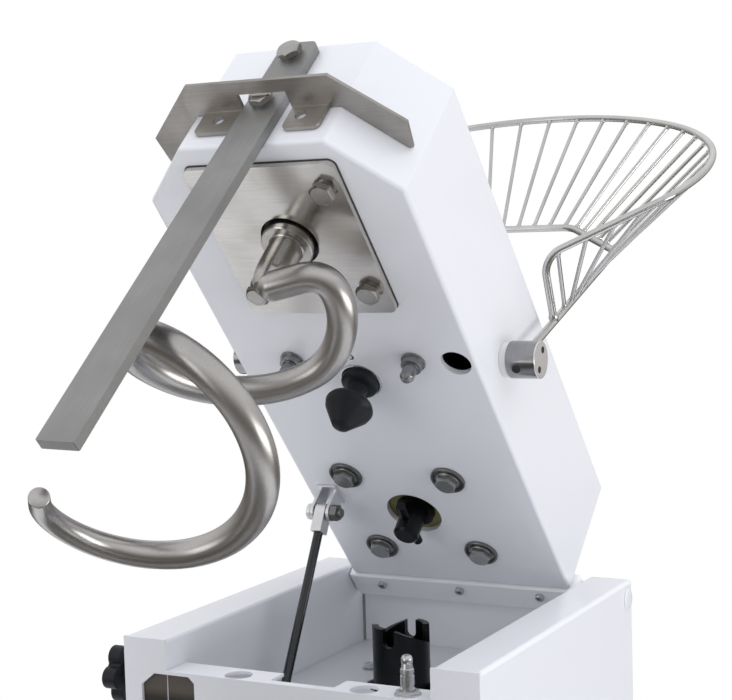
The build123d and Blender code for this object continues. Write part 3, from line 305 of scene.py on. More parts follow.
smoked = enamel("smoked_plastic", (0.105, 0.09, 0.074, 1), (0.085, 0.072, 0.058, 1), (0.29, 0.4),
                500.0, 0.08, 0.1)
repaint(smoked, low_down, (0.022, 0.019, 0.016, 1))
LINER_FRONT, LINER_BACK, LINER_LOW, LINER_TOP = -316.95, -316.1, -84.0, -12.3
STRIP = [(115.0, -317.7), (117.1, -317.7), (117.1, -317.05), (115.0, -317.05)]
STRIP_LOW, STRIP_TOP = -79.8, -12.5
liners = bmesh.new()
for side in (-1, 1):
    for inner, outer in ((84.0, 113.9), (117.0, 141.0)):
        plate = [(inner, LINER_FRONT), (outer, LINER_FRONT), (outer, LINER_BACK), (inner, LINER_BACK)]
        bead(liners, [(side * x, y) for x, y in plate], LINER_LOW, LINER_TOP)
    bead(liners, [(side * x, y) for x, y in STRIP], STRIP_LOW, STRIP_TOP)
piece("window_liners", liners, smoked, "frame", column_pose)

# Column screws and tray bolt.  Button-head screws hold the panels, and a small bolt stands on the tray
# beside the drive cup.  Their zinc plating is bluish bright steel with fine dull clouds; like every bare
# metal here it takes its grain from one shared group.
grain_inputs = {"Position": "Vector", "Along": "Vector"}
metal_grain, into, out = effect("metal_grain", grain_inputs, ("Grain", "Cloud", "Stain"))
lines = add(metal_grain, "TexNoise",
            {"Vector": into["Along"], "Scale": 1.0, "Detail": 3.0, "Roughness": 0.6})
haze = add(metal_grain, "TexNoise", {"Vector": into["Position"], "Scale": 16.0, "Detail": 3.0})
mark = add(metal_grain, "TexNoise",
           {"Vector": into["Position"], "Scale": 34.0, "Detail": 5.0, "Distortion": 0.7})
metal_grain.links.new(lines.outputs[0], out["Grain"])
metal_grain.links.new(spread(metal_grain, haze.outputs[0], 0.0, 1.0, 0.3, 0.7), out["Cloud"])
metal_grain.links.new(spread(metal_grain, mark.outputs[0], 0.0, 1.0, 0.5, 0.72), out["Stain"])

FINE = (0.0012, 0.0012, 0.0012)


def steel(name, bright, dull, rough, stretch=FINE, tilt=0.0, stain=0.25, depth=0.08):
    """Bare metal: grain stretched along one way, hazy patches and a few warm stains."""
    mat, tree, shader, where = finish(name, metallic=1.0)
    turned = {"Vector": where, "Rotation": (tilt, 0, 0), "Scale": stretch}
    lay = add(tree, "Mapping", turned, vector_type="TEXTURE").outputs[0]
    grain = add(tree, "Group", {"Position": where, "Along": lay}, node_tree=metal_grain).outputs
    hazy = tint(tree, grain["Cloud"], bright, dull)
    dark = tuple(c * k for c, k in zip(dull[:3], (0.72, 0.68, 0.62))) + (1.0,)
    stained = tint(tree, spread(tree, grain["Stain"], 0.0, stain), hazy, dark)
    lined = tint(tree, spread(tree, grain["Grain"], 0.0, 0.3, 0.4, 0.75), stained, dark)
    tree.links.new(lined, shader["Base Color"])
    patchy = add(tree, "Math", {0: grain["Cloud"], 1: grain["Grain"]}, operation="MULTIPLY").outputs[0]
    tree.links.new(spread(tree, patchy, *rough), shader["Roughness"])
    bump = add(tree, "Bump", {"Height": grain["Grain"], "Strength": depth, "Distance": 0.0002})
    tree.links.new(bump.outputs[0], shader["Normal"])
    return mat


zinc = steel("zinc_plating", (0.66, 0.68, 0.7, 1), (0.5, 0.52, 0.54, 1), (0.22, 0.42))
BUTTON_HEAD = [(4.6, 0.0), (4.6, 0.5), (4.1, 1.5), (3.0, 2.2),
               (1.75, 2.4), (1.5, 2.4, 6), (1.5, 1.0, 6), (0, 1.0)]
REAR_SCREW_X, CHEEK_FACE, SIDE_SCREW_Z = 104.0, 152.7, -585.0
screws = bmesh.new()
for side in (-1, 1):
    for z in (-30.0, -185.0, -342.0):
        lathe(screws, BUTTON_HEAD, facing(side * REAR_SCREW_X, REAR_FACE, z, (0, 1, 0)), 24)
for side in (-1, 1):
    for y in (-600.0, -450.0, -300.0, -150.0, -20.0):
        lathe(screws, BUTTON_HEAD, facing(side * CHEEK_FACE, y, SIDE_SCREW_Z, (side, 0, 0)), 24)
piece("column_screws", screws, zinc, "frame", column_pose)
TRAY_BOLT_X, TRAY_BOLT_Y = -59.4, -83.5
HEX_SCREW = [(7.0, 0.0), (7.0, 1.2), (4.6, 1.3), (5.0, 1.5, 6), (5.0, 5.0, 6, 0.577), (4.6, 5.3), (0, 5.3)]
tray_bolt = bmesh.new()
lathe(tray_bolt, HEX_SCREW, facing(TRAY_BOLT_X, TRAY_BOLT_Y, TRAY_TOP, (0, 0, 1)), 36)
piece("tray_bolt", tray_bolt, zinc, "frame", column_pose)

# Drive.  A flange motor hangs from a cast gearbox across the column; a long shaft runs down to a
# small pulley in the base, and a flat belt takes the turning to the bowl.  A second belt runs in the
# head, and a galvanised anchor holds the strut's lower end.
cast = enamel("grey_casting", (0.36, 0.38, 0.4, 1), (0.3, 0.31, 0.33, 1), (0.5, 0.65), 260.0, 0.35, 0.0)
motor_paint = enamel("motor_paint", (0.12, 0.2, 0.28, 1), (0.1, 0.17, 0.24, 1), (0.4, 0.5), 300.0, 0.2, 0.0)
turned_iron = steel("turned_iron", (0.42, 0.41, 0.4, 1), (0.32, 0.31, 0.3, 1), (0.35, 0.55))
belt_rubber = enamel("belt_rubber", (0.025, 0.025, 0.027, 1), (0.04, 0.04, 0.04, 1), (0.55, 0.7),
                     1200.0, 0.3, 0.0)
shaft_steel = steel("shaft_steel", (0.56, 0.55, 0.53, 1), (0.42, 0.41, 0.39, 1), (0.2, 0.42))
dress(cast, "gearbox", edge=1.0)
dress(motor_paint, "gear_motor", edge=1.0)
dress(turned_iron, "drive_pulley", "bowl_pulley", "spiral_pulley", "pin_pulley", edge=0.5)
dress(belt_rubber, "bowl_belt", "head_belt", edge=0.8)
dress(shaft_steel, "drive_shaft", edge=0.5)
dress(galvanised("anchor_plate", (0.6, 0.61, 0.62, 1), (0.46, 0.47, 0.49, 1)), "strut_anchor", edge=0.5)

# Bowl.  Spun from stainless sheet with a rolled rim; it turns on a spindle in a bearing on the base.
# The spinning tool leaves fine rings that run round its axis.
BOWL_Y = -507.0


def spun(name, bright, dull, rough, x, y):
    """Metal with fine rings round an upright axis at x, y."""
    mat, tree, shader, where = finish(name, metallic=1.0)
    centre = add(tree, "Mapping", {"Vector": where, "Location": (-x, -y, 0.0)}).outputs[0]
    part = add(tree, "SeparateXYZ", {0: centre}).outputs
    flat = add(tree, "CombineXYZ", {0: part[0], 1: part[1]}).outputs[0]
    reach = add(tree, "VectorMath", {0: flat}, operation="LENGTH").outputs["Value"]
    ring = add(tree, "CombineXYZ", {0: reach, 2: part[2]}).outputs[0]
    close = {"Vector": ring, "Scale": (0.0007, 1.0, 0.0007)}
    fine = add(tree, "Mapping", close, vector_type="TEXTURE").outputs[0]
    grain = add(tree, "Group", {"Position": where, "Along": fine}, node_tree=metal_grain).outputs
    hazy = tint(tree, grain["Cloud"], bright, dull)
    ringed = tint(tree, spread(tree, grain["Grain"], 0.0, 0.4, 0.35, 0.75), hazy, dull)
    tree.links.new(ringed, shader["Base Color"])
    tree.links.new(spread(tree, grain["Grain"], *rough), shader["Roughness"])
    bump = add(tree, "Bump", {"Height": grain["Grain"], "Strength": 0.08, "Distance": 0.0002})
    tree.links.new(bump.outputs[0], shader["Normal"])
    return mat


bowl_axis = hinge + Vector((0, BOWL_Y / 1000, 0))
bowl_steel = spun("spun_stainless", (0.64, 0.63, 0.61, 1), (0.5, 0.49, 0.47, 1), (0.18, 0.38),
                  bowl_axis.x, bowl_axis.y)
dress(bowl_steel, "bowl", edge=0.0)
dress(shaft_steel, "bowl_spindle", edge=0.6)
dress(cast, "bowl_bearing", edge=0.8)

# Claw cup.  Blackened steel cup on top of the drive shaft; two claws with sloped backs catch the
# cross pin of the head when the head comes down.
black_steel = steel("black_oxide", (0.035, 0.037, 0.04, 1), (0.02, 0.021, 0.023, 1), (0.28, 0.48),
                    stain=0.1)
dress(black_steel, "claw_cup", edge=0.7)

# Head shell.  Folded from steel sheet to a five-sided nose, white enamel over soft folds, with a
# screwed top cover; a square tube with three socket screws runs along its rear edge, turns on the hinge
# pins in brass bushes, and has a round-edged cover on each end.
HEAD_RAISE = radians(-48.56)
head_pose = Matrix.Translation(hinge) @ Matrix.Rotation(HEAD_RAISE, 4, "X")
dress(white_enamel, "head_shell", "head_top_cover", edge=0.6)
# The rear tube takes a brighter copy of the white enamel: painted light for the light the tube catches.
flange_enamel = enamel("flange_enamel", (0.93, 0.935, 0.95, 1), (0.89, 0.895, 0.91, 1), (0.3, 0.4))
dress(flange_enamel, "rear_flange", edge=0.5)
brass = steel("brass_bush", (0.62, 0.45, 0.2, 1), (0.5, 0.36, 0.16, 1), (0.25, 0.4))
dress(brass, "pivot_bushes", edge=0.3)


def rounded(x0, y0, x1, y1, corner, steps):
    """Outline of a rectangle with round corners."""
    outline = []
    right, rear, left, front = x1 - corner, y1 - corner, x0 + corner, y0 + corner
    for mx, my, start in ((right, rear, 0), (left, rear, 90), (left, front, 180), (right, front, 270)):
        for k in range(steps + 1):
            t = radians(start + 90 * k / steps)
            outline.append((mx + corner * cos(t), my + corner * sin(t)))
    return outline


TUBE_FRONT, TUBE_LOW, TUBE_REAR, TUBE_TOP, TUBE_CORNER = -19.3, -11.6, 10.6, 9.5, 2.0
TUBE_END, END_REACH, END_ROUND = 107.3, 6.2, 5.0


def tube_end(shape, side):
    """Round-edged cover on one end of the rear tube, up to the cheek."""
    steps = 8
    rows = []
    for k in range(steps + 1):
        t = radians(90 * k / steps)
        x = side * (TUBE_END + (END_REACH - END_ROUND) * (k > 0) + END_ROUND * sin(t))
        inset = END_ROUND * (1 - cos(t))
        outline = rounded(TUBE_FRONT + inset, TUBE_LOW + inset, TUBE_REAR - inset, TUBE_TOP - inset,
                          TUBE_CORNER, 4)
        rows.append([shape.verts.new((x, y, z)) for y, z in outline])
    skin(shape, rows)
    shape.faces.new(rows[-1])


ends = bmesh.new()
for side in (-1, 1):
    tube_end(ends, side)
# The end covers take the same brighter enamel, painted light.
piece("flange_ends", ends, flange_enamel, "head", head_pose, 50)
UNDER, TUBE_SCREW_Y, SMALL_SCREW_Y, SMALL_SCREW_SUNK = -9.1, -10.0, -312.0, 2.1
SOCKET_CAP = [(4.1, 0.0), (4.1, 3.2), (3.7, 3.7), (2.5, 3.7), (2.2, 3.6, 6), (2.2, 0.8, 6), (0, 0.7)]
caps = bmesh.new()
for x in (-79.0, -0.7, 77.2):
    lathe(caps, SOCKET_CAP, facing(x, TUBE_SCREW_Y, TUBE_LOW, (0, 0, -1)), 36)
lathe(caps, BUTTON_HEAD, facing(0.0, SMALL_SCREW_Y, UNDER + SMALL_SCREW_SUNK, (0, 0, -1)), 24)
piece("flange_screws", caps, zinc, "head", head_pose)
COVER_TOP, COVER_SCREW_X = 110.0, 88.0
cover_screws = bmesh.new()
for side in (-1, 1):
    for y in (-440.0, -300.0, -160.0, -50.0):
        lathe(cover_screws, BUTTON_HEAD, facing(side * COVER_SCREW_X, y, COVER_TOP, (0, 0, 1)), 24)
piece("cover_screws", cover_screws, zinc, "head", head_pose)

# Bearing plate.  Stainless plate screwed under the nose to carry the spiral's bearing; four hexagon
# bolts with spring washers hold it, two more hold the bar at the nose, and a thin near-black strip round
# the plate's edge is painted shadow.
plate_steel = steel("plate_steel", (0.7, 0.68, 0.655, 1), (0.55, 0.53, 0.505, 1), (0.16, 0.36),
                    (0.03, 0.0016, 0.0016), HEAD_RAISE, 0.4, 0.05)
dress(plate_steel, "bearing_plate", edge=0.7)
# Near-black strip just outside the plate: painted shadow along the plate's edge.
edge_shadow = enamel("dark_sealant", (0.05, 0.048, 0.046, 1), (0.08, 0.075, 0.07, 1), (0.5, 0.7), 600.0, 0.2, 0.0)
PLATE_HALF, PLATE_FRONT, PLATE_REAR, PLATE_CORNER, PLATE_THICK = 63.0, -512.0, -366.0, 6.0, 5.0
SHADOW_WIDE, SHADOW_THICK = 0.7, 0.6
SHADOW_SECTION = ((0.0, -SHADOW_THICK), (SHADOW_WIDE, -SHADOW_THICK), (SHADOW_WIDE, 0.0), (0.0, 0.0))
shadow_line = bmesh.new()
frames = []
for grow, lift in SHADOW_SECTION:
    outline = rounded(-PLATE_HALF - grow, PLATE_FRONT - grow, PLATE_HALF + grow, PLATE_REAR + grow,
                      PLATE_CORNER + grow, 8)
    frames.append([shadow_line.verts.new((x, y, UNDER + lift)) for x, y in outline])
skin(shadow_line, frames + frames[:1])
piece("plate_sealant", shadow_line, edge_shadow, "head", head_pose)

bolt_steel = steel("bolt_steel", (0.46, 0.45, 0.435, 1), (0.33, 0.32, 0.305, 1), (0.2, 0.36))
SPRING_WASHER = [(5.4, 0.0), (8.8, 0.0), (8.8, 1.7), (8.3, 1.9), (5.4, 1.9)]
dark_zinc = steel("dark_zinc", (0.34, 0.35, 0.36, 1), (0.22, 0.23, 0.24, 1), (0.28, 0.5))
HEX_HEAD = [(7.9, 1.9), (8.1, 2.0), (8.5, 2.3, 6), (8.5, 6.9, 6, 0.577),
            (7.8, 7.3), (6.6, 7.3), (6.4, 7.2), (0, 7.2)]
BAR_FRONT = -536.0
spots = []
for x in (-48.0, 48.0):
    for y in (-488.5, -389.5):
        turn = Matrix.Rotation(0.3 + x * y, 4, "Z")
        spots.append(facing(x, y, UNDER - PLATE_THICK, (0, 0, -1)) @ turn)
for x, z in ((-1.6, 31.1), (-0.5, 86.3)):
    turn = Matrix.Rotation(0.2 + z, 4, "Z")
    spots.append(facing(x, BAR_FRONT, z, (0, -1, 0)) @ turn)
bolts = bmesh.new()
springs = bmesh.new()
for spot in spots:
    lathe(springs, SPRING_WASHER, spot)
    lathe(bolts, HEX_HEAD, spot)
piece("spring_washers", springs, dark_zinc, "head", head_pose)

# Pin bearing bolts.  Four more hexagon bolts on wide dished washers hold the bearing of the drive pin
# inside the head; their zinc has gone dull grey, and the washers are painted near black, painted shade for
# their dished hollows.
DISH = [(5.2, 0.0), (15.0, 0.0), (15.0, 2.1), (14.6, 2.6),
        (13.6, 2.6), (12.9, 2.0), (12.3, 0.5), (5.2, 0.4)]
COLLAR_HEAD = [(10.2, 0.4), (10.2, 2.4), (9.8, 2.8), (8.2, 2.9), (8.5, 3.1, 6),
               (8.5, 8.4, 6, 0.577), (7.8, 8.8), (6.4, 8.7), (0, 8.7)]
# Near-black washers: painted shade of the dishes round the bolt heads.
dish_steel = steel("dish_steel", (0.25, 0.25, 0.25, 1), (0.16, 0.16, 0.16, 1), (0.32, 0.52))
dull_zinc = steel("dull_zinc", (0.48, 0.49, 0.49, 1), (0.34, 0.35, 0.35, 1), (0.3, 0.5))
washers = bmesh.new()
pin_bolts = bmesh.new()
for x in (-60.0, 37.1):
    for y in (-164.8, -66.5):
        spot = facing(x, y, UNDER, (0, 0, -1)) @ Matrix.Rotation(0.5 + x + y, 4, "Z")
        lathe(washers, DISH, spot)
        lathe(pin_bolts, COLLAR_HEAD, spot)
dish = piece("dished_washers", washers, dish_steel, "head", head_pose)
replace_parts(dish, "bolt_washers")
plate_bolts = piece("plate_and_nose_bolts", bolts, bolt_steel, "head", head_pose, 25)
piece("pin_bearing_bolts", pin_bolts, dull_zinc, "head", head_pose, 25)
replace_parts(plate_bolts, "hex_bolts")

# Spiral shaft.  Turned from stainless bar with a collar that sits in the plate; below it the plain end
# is rounded off where the hook is welded on, and a bright key lies in its slot.
SPIRAL_Y, KEY_TURN = -440.5, radians(34.0)
SHAFT = [(0, 88.0), (12.6, 88.0), (13.2, 87.4), (13.2, 24.0), (19.9, 24.0), (20.5, 23.4),
         (20.5, -20.9), (19.7, -21.7), (13.9, -21.7), (13.2, -22.4), (13.2, -46.0), (12.6, -54.0),
         (11.2, -61.0), (8.6, -65.5), (5.0, -67.4), (0, -68.0)]
turned_shaft = bmesh.new()
lathe(turned_shaft, SHAFT, Matrix.Translation((0, SPIRAL_Y, 0)), 72)
spindle = piece("turned_shaft", turned_shaft, shaft_steel, "spiral", head_pose, 30)
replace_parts(spindle, "spiral_shaft")


KEY_DEEP, KEY_POINTS = 2.0, 32


def key_slab(shape, half, low, high, r):
    """Long key with round ends that lies along the shaft and stands out to a radius."""
    around = Matrix.Translation((0, SPIRAL_Y, 0)) @ Matrix.Rotation(KEY_TURN, 4, "Z")
    rows = []
    for depth in (KEY_DEEP, 0.0):
        row = []
        for k in range(KEY_POINTS):
            t = 2 * pi * k / KEY_POINTS
            z = (high - half if sin(t) > 0 else low + half) + half * sin(t)
            row.append(shape.verts.new(around @ Vector((half * cos(t), depth - r, z))))
        rows.append(row)
    skin(shape, rows)
    shape.faces.new(rows[1])


slot_edge = bmesh.new()
key_slab(slot_edge, 3.5, -52.0, -22.6, 13.25)
piece("key_slot", slot_edge, turned_iron, "spiral", head_pose)
bright_key = bmesh.new()
key_slab(bright_key, 2.3, -50.6, -23.6, 13.5)
piece("shaft_key", bright_key, zinc, "spiral", head_pose)
dress(cast, "spiral_bearing", edge=0.5)

# Spiral hook.  A round stainless bar is welded to the shaft's end, bends over an elbow and winds down a
# shrinking helix to a thinner, faced tip.  Satin finish, with long darker streaks.
hook_steel = steel("hook_steel", (0.525, 0.515, 0.505, 1), (0.455, 0.445, 0.435, 1), (0.285, 0.4),
                   stain=0.06, depth=0.015)
HOOK_X, ROD_R, TIP_R = -2.0, 11.3, 7.0
ELBOW = [(85.2, 8.0, -62.5), (85.2, 49.2, -52.0), (116.7, 64.5, -63.6)]
TURN_FROM, TURN_TO, TURN_STEPS, THIN_FROM = 150.0, 679.0, 19, 0.71
WIND_R, WIND_R_SLOPE, WIND_R_BOW = 71.3, -10.5, 2.4
WIND_Z, WIND_Z_SLOPE, WIND_Z_BOW = -93.3, -191.4, 29.4


def hook_at(angle, r, z):
    """Point about the spiral's axis; the angle is counted from the nose towards the right."""
    return Vector((HOOK_X + r * sin(radians(angle)), SPIRAL_Y - r * cos(radians(angle)), z))


def hook_line():
    """Centre line of the bar: corners of its run, cut round four times."""
    line = [hook_at(angle, r, z) for angle, r, z in ELBOW]
    step = (TURN_TO - TURN_FROM) / TURN_STEPS
    for i in range(TURN_STEPS + 1):
        angle = TURN_FROM + step * i
        turns = (angle - 180.0) / 360.0
        r = (WIND_R + WIND_R_SLOPE * turns + WIND_R_BOW * turns * turns) / cos(radians(step / 2))
        line.append(hook_at(angle, r, WIND_Z + WIND_Z_SLOPE * turns + WIND_Z_BOW * turns * turns))
    for _ in range(4):
        cut = [line[0]]
        for p, q in zip(line, line[1:]):
            cut += [p.lerp(q, 0.25), p.lerp(q, 0.75)]
        line = cut + [line[-1]]
    return line


def rod(shape, stations, sides=40):
    """Skin over rings, each a middle, a direction and a radius; the rings don't twist along the way."""
    across = stations[0][1].orthogonal().normalized()
    rows = []
    for middle, ahead, r in stations:
        across = (across - ahead * across.dot(ahead)).normalized()
        beside = ahead.cross(across)
        turns = [2 * pi * k / sides for k in range(sides if r else 1)]
        rows.append([shape.verts.new(middle + (across * cos(t) + beside * sin(t)) * r) for t in turns])
    skin(shape, rows)


line = hook_line()
aheads = [(q - p).normalized() for p, q in zip([line[0]] + line, line[1:] + [line[-1]])]
aheads[0] = (line[1] - line[0]).normalized()
run = [0.0]
for p, q in zip(line, line[1:]):
    run.append(run[-1] + (q - p).length)
stations = []
for k in range(8):
    t = pi / 2 * k / 8
    stations.append((line[0] - aheads[0] * ROD_R * cos(t), aheads[0], ROD_R * sin(t)))
for middle, ahead, way in zip(line, aheads, run):
    thin = max(0.0, (way / run[-1] - THIN_FROM) / (1 - THIN_FROM))
    stations.append((middle, ahead, ROD_R + (TIP_R - ROD_R) * thin))
for proud, r in ((0.5, TIP_R - 0.25), (0.8, TIP_R - 0.8), (0.9, 0.0)):
    stations.append((line[-1] + aheads[-1] * proud, aheads[-1], r))
bar = bmesh.new()
rod(bar, stations)
wound = piece("wound_hook", bar, hook_steel, "spiral", head_pose, 50)
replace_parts(wound, "spiral_hook")

# Breaker bar and nose bracket.  A flat stainless bar hangs from the nose beside the spiral; behind it
# a bent stainless shelf with two tabs goes round the nose.
bar_steel = steel("brushed_bar", (0.383, 0.383, 0.383, 1), (0.317, 0.317, 0.317, 1), (0.48, 0.6),
                  (0.0007, 0.0007, 0.05), HEAD_RAISE, 0.12, 0.12)
sheet_steel = steel("bracket_sheet", (0.47, 0.45, 0.43, 1), (0.3, 0.285, 0.265, 1), (0.36, 0.5),
                    (0.04, 0.0012, 0.0012), HEAD_RAISE, 0.35, 0.08)
dress(bar_steel, "breaker_bar", edge=0.8)
dress(sheet_steel, "nose_bracket", edge=0.5)

# Drive pin.  A blackened steel pin with a cross pin hangs from the head in its olive-coated bearing
# and drops into the claw cup.
olive = steel("olive_bearing", (0.34, 0.31, 0.14, 1), (0.24, 0.22, 0.1, 1), (0.3, 0.5))
dress(black_steel, "pin_shaft", "cross_pin", edge=0.6)
dress(olive, "pin_bearing", edge=0.6)

# Lock mushroom, locating studs and switch.  The lock bolt catches the neck of a black mushroom on a
# bright washer; two zinc studs centre the head on the ledge, and a ringed, sprung plunger in a flat nut
# tells that the head is shut.
black_plastic = enamel("black_plastic", (0.011, 0.012, 0.015, 1), (0.018, 0.0195, 0.024, 1), (0.32, 0.45),
                       800.0, 0.12, 0.0, 1.28)
dress(black_plastic, "lock_mushroom", edge=0.9)
dress(dark_zinc, "locating_studs", "switch_striker", edge=0.5)
switch_zinc = galvanised("switch_case", (0.62, 0.63, 0.63, 1), (0.5, 0.51, 0.52, 1))
SWITCH_X, SWITCH_Y, CASE_LOW, CASE_TOP = 90.0, -308.0, -56.0, -12.1
NUT = [(5.9, -20.0), (7.7, -20.0), (7.7, -9.6), (10.1, -9.6), (10.1, -8.8), (9.8, -8.5),
       (8.4, -8.5), (8.5, -8.4, 6), (8.5, -6.6, 6, 0.5), (7.8, -6.3), (5.9, -6.3), (5.9, -20.0)]
CASE = [(80.0, -316.0), (100.0, -316.0), (101.0, -315.0), (101.0, -296.0), (100.0, -295.0), (80.0, -295.0),
        (79.0, -296.0), (79.0, -315.0)]
PLUNGER = [(0, -40.0), (5.5, -40.0), (5.5, -4.6), (4.8, -4.2), (4.8, -2.8), (5.2, -2.4),
           (5.2, 4.6), (4.6, 5.0), (4.6, 6.2), (5.1, 6.6), (5.0, 9.4), (4.4, 10.0),
           (3.9, 13.6), (4.3, 14.2), (4.2, 17.4), (3.4, 19.0), (2.2, 19.8), (0, 20.0)]
switch_line = Matrix.Translation((SWITCH_X, SWITCH_Y, 0))
case = bmesh.new()
bead(case, CASE, CASE_LOW, CASE_TOP)
lathe(case, NUT, switch_line, 48)
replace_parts(piece("head_switch", case, switch_zinc, "frame", column_pose), "switch_body")
post = bmesh.new()
lathe(post, PLUNGER, switch_line, 36)
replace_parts(piece("ringed_plunger", post, zinc, "switch_plunger", column_pose), "switch_plunger")
LOCK_Y = -285.5
FLAT_WASHER = [(9.0, 0.0), (17.8, 0.0), (17.8, 0.9), (17.3, 1.2), (9.0, 1.2)]
flange = bmesh.new()
lathe(flange, FLAT_WASHER, facing(0, LOCK_Y, UNDER, (0, 0, -1)), 64)
piece("mushroom_washer", flange, zinc, "head", head_pose)

# Gas strut.  A black rod with a bright rod end swings in a U bracket under the head; its cylinder goes
# down through the tray to an anchor behind the front panel.  The pivot nut is dull grey.
NUT_X = -0.0757


def pivot_nut(tree, places):
    """Mask over the nut on the right of the rod end."""
    return add(tree, "Math", {0: places[0], 1: NUT_X}, operation="GREATER_THAN").outputs[0]


rod_black = enamel("black_rod", (0.006, 0.007, 0.01, 1), (0.01, 0.012, 0.016, 1), (0.12, 0.2),
                   500.0, 0.03, 0.4, 1.4)
bracket_zinc = steel("bracket_zinc", (0.82, 0.83, 0.85, 1), (0.7, 0.71, 0.73, 1), (0.38, 0.52))
strut_zinc = steel("strut_zinc", (0.82, 0.83, 0.85, 1), (0.7, 0.71, 0.73, 1), (0.38, 0.52))
repaint(strut_zinc, pivot_nut, (0.2, 0.2, 0.2, 1))
dress(bracket_zinc, "strut_bracket", edge=0.5)
dress(strut_zinc, "strut_rod_end", edge=0.5)
dress(rod_black, "strut_rod", "strut_cylinder", edge=0.5)

# Guard hubs.  Turned steel hubs on fixed pins at the head's sides, with white nylon washers; a grub
# screw clamps each arm of the guard, and two small holes in the end take a pin wrench.  The hubs' outer
# ends are painted near white, a painted reflection, and the holes are shallow black discs, painted shade.
HUB_Y, HUB_Z, HUB_BRIGHT_FROM = -268.0, 32.0, 0.1374


def painted_bright_end(tree, places):
    """Mask over the hubs' outer ends, which are painted near white as a painted reflection."""
    reach = add(tree, "Math", {0: places[0]}, operation="ABSOLUTE").outputs[0]
    return add(tree, "Math", {0: reach, 1: HUB_BRIGHT_FROM}, operation="GREATER_THAN").outputs[0]


hub_steel = steel("hub_steel", (0.36, 0.36, 0.375, 1), (0.27, 0.27, 0.28, 1), (0.2, 0.27),
                  (0.0009, 0.03, 0.03))
# Outer ends painted near white: painted reflection on the end faces.
repaint(hub_steel, painted_bright_end, (0.85, 0.85, 0.86, 1))
GUARD_FLIP = radians(-113.9)
hub_line = Matrix.Translation(Vector((0, HUB_Y, HUB_Z)) / 1000)
guard_pose = head_pose @ hub_line @ Matrix.Rotation(GUARD_FLIP, 4, "X") @ hub_line.inverted()
nylon = enamel("white_nylon", (0.8, 0.8, 0.79, 1), (0.74, 0.74, 0.73, 1), (0.35, 0.5), 700.0, 0.08, 0.0)
dress(hub_steel, "guard_hubs", edge=0.6)
dress(nylon, "hub_washers", edge=0.5)
dress(shaft_steel, "hub_pins", edge=0.4)
# Near black: painted shade inside the wrench holes, which are only shallow discs; the grub screws take the
# same black.
hole_black = enamel("hole_black", (0.01, 0.01, 0.01, 1), (0.016, 0.016, 0.016, 1), (0.6, 0.7),
                    900.0, 0.1, 0.0)
HOLE_SHADE_DISC = [(2.8, 0.0), (2.8, 0.15), (2.1, 0.2), (1.9, 0.05), (0, 0.05)]
GRUB_SCREW = [(3.6, -0.5), (3.6, 0.2), (2.9, 0.3), (1.7, 0.3, 6), (1.7, 0.1, 6), (0, 0.1)]
HUB_END, HUB_R, HOLE_OFF, GRUB_X = 138.0, 15.0, 6.0, 122.0
GRUB_WAY = Vector((0, 0.989, 0.147))
holes = bmesh.new()
for side in (-1, 1):
    for off in (HOLE_OFF, -HOLE_OFF):
        lathe(holes, HOLE_SHADE_DISC, facing(side * HUB_END, HUB_Y + off, HUB_Z + off, (side, 0, 0)), 24)
    grub = facing(side * GRUB_X, HUB_Y + HUB_R * GRUB_WAY.y, HUB_Z + HUB_R * GRUB_WAY.z, GRUB_WAY)
    lathe(holes, GRUB_SCREW, grub, 24)
piece("hub_holes", holes, hole_black, "guard", guard_pose)

# Guard.  Bent from bright stainless wire: a rail on the two hub arms, a round rim and thirty-seven thin
# wires between them.  Each wire end is fused to the bar it meets with a small weld.
guard_wire = steel("guard_wire", (0.66, 0.66, 0.655, 1), (0.54, 0.54, 0.535, 1), (0.2, 0.32),
                   stain=0.12, depth=0.02)
dress(guard_wire, "guard_rail", "guard_rim", "guard_wires", edge=0.0)
RAIL_X, RAIL_A, RAIL_FRONT_A, RAIL_FRONT_X, FALL = 121.0, 242.5, 311.0, 55.6, tan(radians(1.75))
HOOP_R, HOOP_A, HOOP_B, HOOP_END = 219.6, 214.0, -86.7, radians(100.0)
TAIL_A, LOW_A, LOW_B = 145.0, 74.0, -60.0
WIRES, RAIL_STEP, RIM_STEP, RIM_CLOSING = 18, 16.0, 31.0, 0.12
RAIL_OFF, RIM_OFF, DROP, ARM_DROP, ARM_A, ARM_OFF = 3.4, 3.3, 2.4, 4.2, 78.0, 3.5


def guard_at(a, x, b):
    """Point counted forward and up from the hub line, guard shut."""
    return Vector((x, HUB_Y - a, HUB_Z + b))


def along(points, s):
    """Point at distance s along a line of corners."""
    for p, q in zip(points, points[1:]):
        run = (q - p).length
        if s <= run:
            return p + (q - p) * (s / run)
        s -= run
    return points[-1]


def rail_at(s, side):
    """Point on the rail at distance s from its front middle."""
    corners = [(RAIL_FRONT_A, 0.0), (RAIL_FRONT_A, RAIL_FRONT_X), (RAIL_A, RAIL_X), (LOW_A, RAIL_X)]
    return along([guard_at(a, side * x, -FALL * a) for a, x in corners], s)


def rim_at(s, side):
    """Point on the rim at distance s from its front middle."""
    if s <= HOOP_R * HOOP_END:
        return guard_at(HOOP_A + HOOP_R * cos(s / HOOP_R), side * HOOP_R * sin(s / HOOP_R), HOOP_B)
    end_a, end_x = HOOP_A + HOOP_R * cos(HOOP_END), HOOP_R * sin(HOOP_END)
    tail_x = end_x + (end_a - TAIL_A) / tan(HOOP_END)
    corners = [(end_a, end_x, HOOP_B), (TAIL_A, tail_x, HOOP_B), (LOW_A, RAIL_X, LOW_B)]
    return along([guard_at(a, side * x, b) for a, x, b in corners], s - HOOP_R * HOOP_END)


def weld(shape, at, toward, size):
    """Small drop of weld, drawn out along the wire."""
    turn = Vector((0, 0, 1)).rotation_difference(toward).to_matrix().to_4x4()
    spot = Matrix.Translation(at) @ turn @ Matrix.Diagonal((size, size, 1.5 * size, 1.0))
    bmesh.ops.create_icosphere(shape, subdivisions=2, radius=1.0, matrix=spot)


